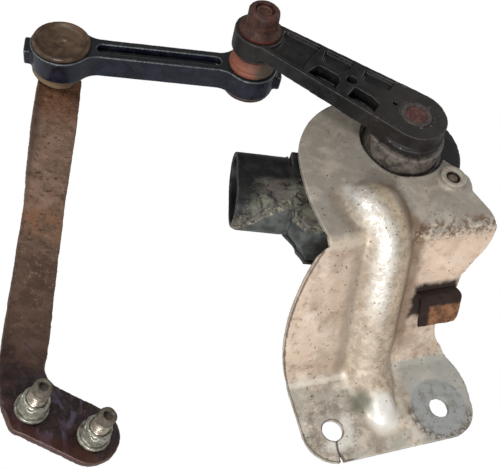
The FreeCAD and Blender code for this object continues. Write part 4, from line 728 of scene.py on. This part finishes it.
turnedBrass = plainFinish("turnedBrass", (182, 146, 84), 0.35, 0.9)
magnetBlack = plainFinish("magnetBlack", (52, 52, 54), 0.5, 0.4)
sealBlack = plainFinish("sealBlack", (30, 30, 31), 0.7)
cupWhite = plainFinish("cupWhite", (214, 212, 202), 0.35)
housingBlack = housingFinish()

nodeFinish = {
    "mounting_bracket": bracketZinc,
    "harness_hook": rustHook,
    "sensor_housing": housingBlack,
    "housing_cover": housingBlack,
    "cover_seal": sealBlack,
    "circuit_board": boardGreen,
    "shaft_bush": turnedBrass,
    "shaft_seal": sealBlack,
    "connector_terminals": tinnedBrass,
    "housing_screws": screwSteel,
    "ear_sleeves": sleeveSteel,
    "lever_arm": leverFinish(),
    "hub_insert": insertSteel,
    "rotor_shaft": shaftRust,
    "rotor_magnet": magnetBlack,
    "lever_ball_stud": rustOrange,
    "lever_nut": nutFinish(),
    "link_rod": linkFinish(),
    "ball_seat_lever": cupWhite,
    "ball_seat_strap": cupWhite,
    "socket_cap_lever": capPlastic,
    "socket_cap_strap": capPlastic,
    "link_boot_lever": bootFinish("bootLever", (126, 74, 56), (82, 70, 58), leverEnd),
    "link_boot_strap": bootFinish("bootStrap", (112, 92, 68), (96, 74, 56), linkEnd),
    "strap_ball_stud": rustDeep,
    "strap_bracket": strapFinish(),
    "foot_studs": studZinc,
    "foot_nuts": nutZinc,
}


def dress(piece, material):
    piece.data.materials.clear()
    piece.data.materials.append(material)


for nodeName, material in nodeFinish.items():
    node = nodes[nodeName]
    if not node.material_slots:
        node.data.materials.append(material)
    for materialSlot in node.material_slots:
        materialSlot.link = "OBJECT"
        materialSlot.material = material
print("stage: finishes made,", len(nodeFinish))


# Worn copies: each seen piece is cut into small cells, eased and roughened as use leaves it.
# voxel, rough, patch and fine are in millimetres; ease is the number of smoothing rounds;
# keep is the share of triangles left at the end

wornLook = {
    "mounting_bracket": dict(voxel=0.42, ease=2, rough=0.16, patch=9.0, fine=0.06, grain=1.3, keep=0.42),
    "harness_hook": dict(voxel=0.3, ease=3, rough=0.45, patch=3.4, fine=0.16, grain=1.1, keep=0.6),
    "sensor_housing": dict(voxel=0.5, ease=3, rough=0.2, patch=7.0, fine=0.06, grain=1.4, keep=0.4),
    "housing_cover": dict(voxel=0.45, ease=2, rough=0.1, patch=7.0, fine=0.04, grain=1.4, keep=0.4),
    "cover_seal": dict(voxel=0.4, ease=1, rough=0.0, patch=7.0, fine=0.0, grain=1.4, keep=0.4),
    "circuit_board": dict(voxel=0.4, ease=1, rough=0.0, patch=7.0, fine=0.0, grain=1.4, keep=0.3),
    "housing_screws": dict(voxel=0.22, ease=2, rough=0.08, patch=2.0, fine=0.04, grain=0.6, keep=0.4),
    "lever_arm": dict(voxel=0.4, ease=3, rough=0.16, patch=6.0, fine=0.05, grain=1.2, keep=0.45),
    "hub_insert": dict(voxel=0.2, ease=2, rough=0.12, patch=1.6, fine=0.06, grain=0.6, keep=0.5),
    "lever_ball_stud": dict(voxel=0.18, ease=1, rough=0.08, patch=1.5, fine=0.04, grain=0.5, keep=0.5),
    "lever_nut": dict(voxel=0.2, ease=5, rough=0.16, patch=2.6, fine=0.08, grain=0.8, keep=0.6),
    "link_rod": dict(voxel=0.4, ease=4, rough=0.14, patch=5.0, fine=0.04, grain=1.2, keep=0.45),
    "socket_cap_lever": dict(voxel=0.26, ease=5, rough=0.12, patch=3.0, fine=0.05, grain=0.8, keep=0.5),
    "socket_cap_strap": dict(voxel=0.26, ease=5, rough=0.12, patch=3.0, fine=0.05, grain=0.8, keep=0.5),
    "link_boot_lever": dict(voxel=0.26, ease=4, rough=0.14, patch=3.0, fine=0.06, grain=0.9, keep=0.4),
    "link_boot_strap": dict(voxel=0.26, ease=4, rough=0.14, patch=3.0, fine=0.06, grain=0.9, keep=0.4),
    "strap_ball_stud": dict(voxel=0.25, ease=2, rough=0.1, patch=2.0, fine=0.05, grain=0.7, keep=0.5),
    "strap_bracket": dict(voxel=0.45, ease=3, rough=0.3, patch=5.0, fine=0.14, grain=1.4, keep=0.6),
    "foot_studs": dict(voxel=0.2, ease=1, rough=0.08, patch=1.6, fine=0.04, grain=0.5, keep=0.5),
    "foot_nuts": dict(voxel=0.2, ease=6, rough=0.12, patch=2.0, fine=0.06, grain=0.7, keep=0.5),
}
threadLook = {"pitch": 1.1, "depth": 0.34}


def latticeNoise(points, patch, seed):
    # random numbers at the corners of cubes a patch wide, blended smoothly between the eight corners
    table = np.random.default_rng(seed).random((48, 48, 48))
    scaled = points / patch
    cell = np.floor(scaled).astype(int)
    share = scaled - cell
    share = share * share * (3.0 - 2.0 * share)
    total = np.zeros(len(points))
    for corner in np.ndindex(2, 2, 2):
        spot = (cell + corner) % 48
        weight = np.where(corner, share, 1.0 - share).prod(axis=1)
        total += weight * table[spot[:, 0], spot[:, 1], spot[:, 2]]
    return total


def ramp(value, low, high):
    # 0 at low, 1 at high, with soft ends
    share = np.clip((value - low) / (high - low), 0.0, 1.0)
    return share * share * (3.0 - 2.0 * share)


def eased(points, pairs, rounds, share=1.0):
    # each point moves half way to the mean of its neighbours, times its share, once a round
    size = len(points)
    count = np.bincount(pairs.ravel(), minlength=size)[:, None]
    for _ in range(rounds):
        totals = [np.bincount(pairs[:, 0], points[pairs[:, 1], axis], size)
                  + np.bincount(pairs[:, 1], points[pairs[:, 0], axis], size) for axis in range(3)]
        mean = np.stack(totals, axis=1) / count
        points = points + (mean - points) * 0.5 * share
    return points


def threaded(points, foot, axis, radius, low, high):
    # screw thread: inside the reach, a point sinks to the axis by a wave of its height plus its angle
    aside = np.cross(axis, (0.3, 0.9, 0.1))
    aside = aside / np.linalg.norm(aside)
    across = np.cross(axis, aside)
    rel = points - foot
    height = rel @ axis
    x, y = rel @ aside, rel @ across
    away = np.hypot(x, y)
    turn = np.arctan2(y, x) / (2 * np.pi)
    wave = 0.5 - 0.5 * np.cos(2 * np.pi * (height / threadLook["pitch"] + turn))
    share = ramp(height, low, low + 0.8) * ramp(height, high, high - 0.8)
    share = share * ramp(away, radius - 1.0, radius - 0.5) * (away < radius + 0.5)
    sink = (wave * threadLook["depth"] * share / np.maximum(away, 0.5))[:, None]
    return points - sink * (x[:, None] * aside + y[:, None] * across)


def grooved(points, normals, foot, axis):
    # a ring-shaped groove between a nut's flange and its body
    rel = points - foot
    away = np.linalg.norm(rel - (rel @ axis)[:, None] * axis, axis=1)
    sink = 0.7 * ramp(away, 4.0, 4.35) * ramp(away, 5.0, 4.65) * ramp(normals @ axis, 0.1, 0.5)
    return points - normals * sink[:, None]


crackLook = {"y": (-13.3, -8.0, -4.2), "x": (-49.47, -49.92, -49.3), "spread": 0.14}


def opened(points):
    # the crack by the left hole spreads to each side of its middle line, so that the cells keep it open
    middle = np.interp(points[:, 1], crackLook["y"], crackLook["x"])
    side = points[:, 0] - middle
    near = (np.abs(side) < 0.7) & (points[:, 1] < -3.0) & (points[:, 2] < 5.0)
    points[:, 0] += np.sign(side) * crackLook["spread"] * near
    return points


def beadShare(points):
    # how strongly the roots of the pressed rib are rounded off
    side = np.abs(points[:, 0] - layout["beadX"])
    share = ramp(side, 19.0, 15.0) * ramp(points[:, 1], -8.0, 0.0) * ramp(points[:, 1], 84.0, 78.0)
    return share[:, None]


def narrowed(points):
    # the housing's far shoulder slopes in to the plug, its near lower corner is cut back,
    # and the plug shroud itself reaches a little further to the far side
    rel = points - shaftFoot
    outward, aside, height = rel @ plugOut, rel @ plugSide, rel[:, 2]
    onBlock = outward < layout["plugFoot"] + 0.2
    shift = -ramp(outward, 26.0, 40.0) * np.maximum(aside + 20.0, 0.0) * 0.45 * onBlock
    shift = shift + np.maximum(aside + 18.0, 0.0) * 0.14 * ~onBlock
    cut = -6.0 * ramp(height, -15.0, -27.0) * ramp(aside, -30.0, -40.0)
    cut = cut * ramp(outward, 32.0, 47.0) * onBlock
    return points + shift[:, None] * plugSide + cut[:, None] * plugOut


def bulged(points, normals):
    # the plug shroud swells below a ridge that falls towards its mouth
    rel = points - shaftFoot
    outward, aside, height = rel @ plugOut, rel @ plugSide, rel[:, 2]
    over = aside - np.clip(aside, layout["plugNear"], layout["plugFar"])
    radius = np.hypot(over, height - layout["plugHeight"])
    ridge = height + 7.0 + 0.036 * np.maximum(outward - 48.0, 0.0) ** 2
    share = ramp(ridge, 0.9, -0.9) * ramp(radius, 9.9, 10.4)
    share = share * ramp(outward, 46.0, 49.0) * ramp(outward, 69.0, 66.5)
    share = share * ramp(aside, -22.0, -27.0)
    return points + normals * (0.9 * share)[:, None]


def readPoints(mesh):
    flat = np.empty(len(mesh.vertices) * 3)
    mesh.vertices.foreach_get("co", flat)
    return flat.reshape(-1, 3) / mm


def evaluated(piece):
    mesh = bpy.data.meshes.new_from_object(piece.evaluated_get(bpy.context.evaluated_depsgraph_get()))
    bpy.data.objects.remove(piece)
    return mesh


def blockOf(name, mesh):
    block = bpy.data.objects.new(name, mesh)
    bpy.context.scene.collection.objects.link(block)
    return block


def wornCopy(nodeName, look, seed):
    # cells of one voxel, eased, sunk along the normals by coarse and fine noise, then thinned out
    block = blockOf(nodeName + "_cells", nodes[nodeName].data.copy())
    if nodeName == "mounting_bracket":
        block.data.vertices.foreach_set("co", (opened(readPoints(block.data)) * mm).ravel())
    cells = block.modifiers.new("cells", "REMESH")
    cells.mode = "VOXEL"
    cells.voxel_size = look["voxel"] * mm
    mesh = evaluated(block)
    points = readPoints(mesh)
    pairs = np.empty(len(mesh.edges) * 2, dtype=np.int32)
    mesh.edges.foreach_get("vertices", pairs)
    pairs = pairs.reshape(-1, 2)
    points = eased(points, pairs, look["ease"])
    if nodeName == "mounting_bracket":
        points = eased(points, pairs, 26, beadShare(points))
    if nodeName in ("sensor_housing", "housing_cover", "cover_seal", "circuit_board"):
        points = narrowed(points)
    mesh.vertices.foreach_set("co", (points * mm).ravel())
    mesh.update()
    normals = np.empty(len(mesh.vertices) * 3)
    mesh.vertex_normals.foreach_get("vector", normals)
    normals = normals.reshape(-1, 3)
    crest = ((points - eased(points, pairs, 10)) * normals).sum(axis=1) / (look["voxel"] * 1.4)
    coarse = look["rough"] * latticeNoise(points, look["patch"], seed)
    fine = look["fine"] * latticeNoise(points, look["grain"], seed + 1)
    sink = coarse + fine
    points = points - normals * sink[:, None]
    if nodeName == "sensor_housing":
        points = bulged(points, normals)
    if nodeName == "foot_nuts":
        for spot in studSpots():
            points = grooved(points, normals, spot, strapUp)
    if nodeName == "foot_studs":
        for spot in studSpots():
            points = threaded(points, spot, strapUp, 3.1, 6.2, 15.5)
    if nodeName == "lever_ball_stud":
        points = threaded(points, leverEnd, np.array([0.0, 0.0, 1.0]), 3.1, layout["leverTop"] + 4.0, 30.0)
    mesh.vertices.foreach_set("co", (points * mm).ravel())
    kept = mesh.attributes.new("crest", "FLOAT", "POINT")
    kept.data.foreach_set("value", crest.astype(np.float32))
    mesh.update()
    block = blockOf(nodeName + "_thin", mesh)
    thin = block.modifiers.new("thin", "DECIMATE")
    thin.ratio = look["keep"]
    mesh = evaluated(block)
    mesh.name = nodeName + "_worn"
    mesh.shade_smooth()
    piece = blockOf(nodeName + "_worn", mesh)
    dress(piece, nodeFinish[nodeName])
    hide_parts(nodeName)
    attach(piece, bodyOfNode[nodeName])
    return piece


wornPieces = {}
for seed, (nodeName, look) in enumerate(wornLook.items()):
    wornPieces[nodeName] = wornCopy(nodeName, look, seed * 2)
    print("piece:", nodeName, len(wornPieces[nodeName].data.polygons), "faces")
print("stage: worn copies,", len(wornPieces))


# Camera at the photograph's place

view = {
    "place": (-164.0, -81.135, 283.635),
    "forward": (0.306, 0.510, -0.804),
    "up": (0.1183, 0.8176, 0.5633),
    "focalPixels": 753.0,
    "widthPixels": 500.0,
    "sensor": 36.0,
}


def placeCamera():
    data = bpy.data.cameras.new("photoCamera")
    data.sensor_width = view["sensor"]
    data.sensor_fit = "HORIZONTAL"
    data.lens = view["focalPixels"] / view["widthPixels"] * view["sensor"]
    data.clip_start = 0.01
    camera = bpy.data.objects.new("photoCamera", data)
    forward = Vector(view["forward"]).normalized()
    right = forward.cross(Vector(view["up"])).normalized()
    up = right.cross(forward)
    turn = Matrix((right, up, -forward)).transposed().to_4x4()
    camera.matrix_world = Matrix.Translation(Vector(view["place"]) * mm) @ turn
    bpy.context.scene.collection.objects.link(camera)
    bpy.context.scene.camera = camera


def softLamp(name, place, target, width, power, colour=(1, 1, 1)):
    data = bpy.data.lights.new(name, "AREA")
    data.shape = "SQUARE"
    data.size = width
    data.energy = power
    data.color = colour
    lamp = bpy.data.objects.new(name, data)
    lamp.location = place
    lamp.rotation_euler = (Vector(target) - Vector(place)).to_track_quat("-Z", "Y").to_euler()
    bpy.context.scene.collection.objects.link(lamp)


def whiteStudio():
    # floor and world show as white to the camera, and light the object gently
    world = bpy.data.worlds.new("studio")
    world.use_nodes = True
    bpy.context.scene.world = world
    tree = world.node_tree
    tree.nodes.clear()
    out = tree.nodes.new("ShaderNodeOutputWorld")
    seen = tree.nodes.new("ShaderNodeBackground")
    seen.inputs["Strength"].default_value = 1.0
    seen.inputs["Color"].default_value = (1, 1, 1, 1)
    lit = tree.nodes.new("ShaderNodeBackground")
    lit.inputs["Strength"].default_value = 0.29
    ray = tree.nodes.new("ShaderNodeLightPath")
    either = tree.nodes.new("ShaderNodeMath")
    either.operation = "MAXIMUM"
    mix = tree.nodes.new("ShaderNodeMixShader")
    tree.links.new(ray.outputs["Is Camera Ray"], either.inputs[0])
    tree.links.new(ray.outputs["Is Transmission Ray"], either.inputs[1])
    tree.links.new(either.outputs[0], mix.inputs[0])
    tree.links.new(lit.outputs[0], mix.inputs[1])
    tree.links.new(seen.outputs[0], mix.inputs[2])
    tree.links.new(mix.outputs[0], out.inputs["Surface"])

    half = 1.6
    corners = [(-half, -half, 0), (half, -half, 0), (half, half, 0), (-half, half, 0)]
    mesh = bpy.data.meshes.new("floor")
    mesh.from_pydata(corners, [], [(0, 1, 2, 3)])
    floor = bpy.data.objects.new("floor", mesh)
    bpy.context.scene.collection.objects.link(floor)
    paint = bpy.data.materials.new("palePaint")
    paint.use_nodes = True
    paintTree = paint.node_tree
    shader = paintTree.nodes["Principled BSDF"]
    shader.inputs["Base Color"].default_value = (0.62, 0.62, 0.62, 1.0)
    shader.inputs["Roughness"].default_value = 0.9
    shader.inputs["Specular IOR Level"].default_value = 0.1
    glow = paintTree.nodes.new("ShaderNodeEmission")
    eye = paintTree.nodes.new("ShaderNodeLightPath")
    choice = paintTree.nodes.new("ShaderNodeMixShader")
    paintTree.links.new(eye.outputs["Is Camera Ray"], choice.inputs[0])
    paintTree.links.new(shader.outputs[0], choice.inputs[1])
    paintTree.links.new(glow.outputs[0], choice.inputs[2])
    paintTree.links.new(choice.outputs[0], paintTree.nodes["Material Output"].inputs["Surface"])
    mesh.materials.append(paint)


lamps = {
    "keyLamp": {"place": (-0.55, -0.85, 0.5), "width": 0.3, "power": 11.0},
    "skyLamp": {"place": (-0.55, 0.25, 0.95), "width": 0.4, "power": 4.5},
    "edgeLamp": {"place": (0.75, 0.35, 0.5), "width": 0.4, "power": 1.6},
}

placeCamera()
whiteStudio()
for lampName, lamp in lamps.items():
    softLamp(lampName, lamp["place"], (-0.06, 0.03, 0.03), lamp["width"], lamp["power"])
bpy.context.scene.view_settings.view_transform = "Standard"
print("stage: camera and studio set")
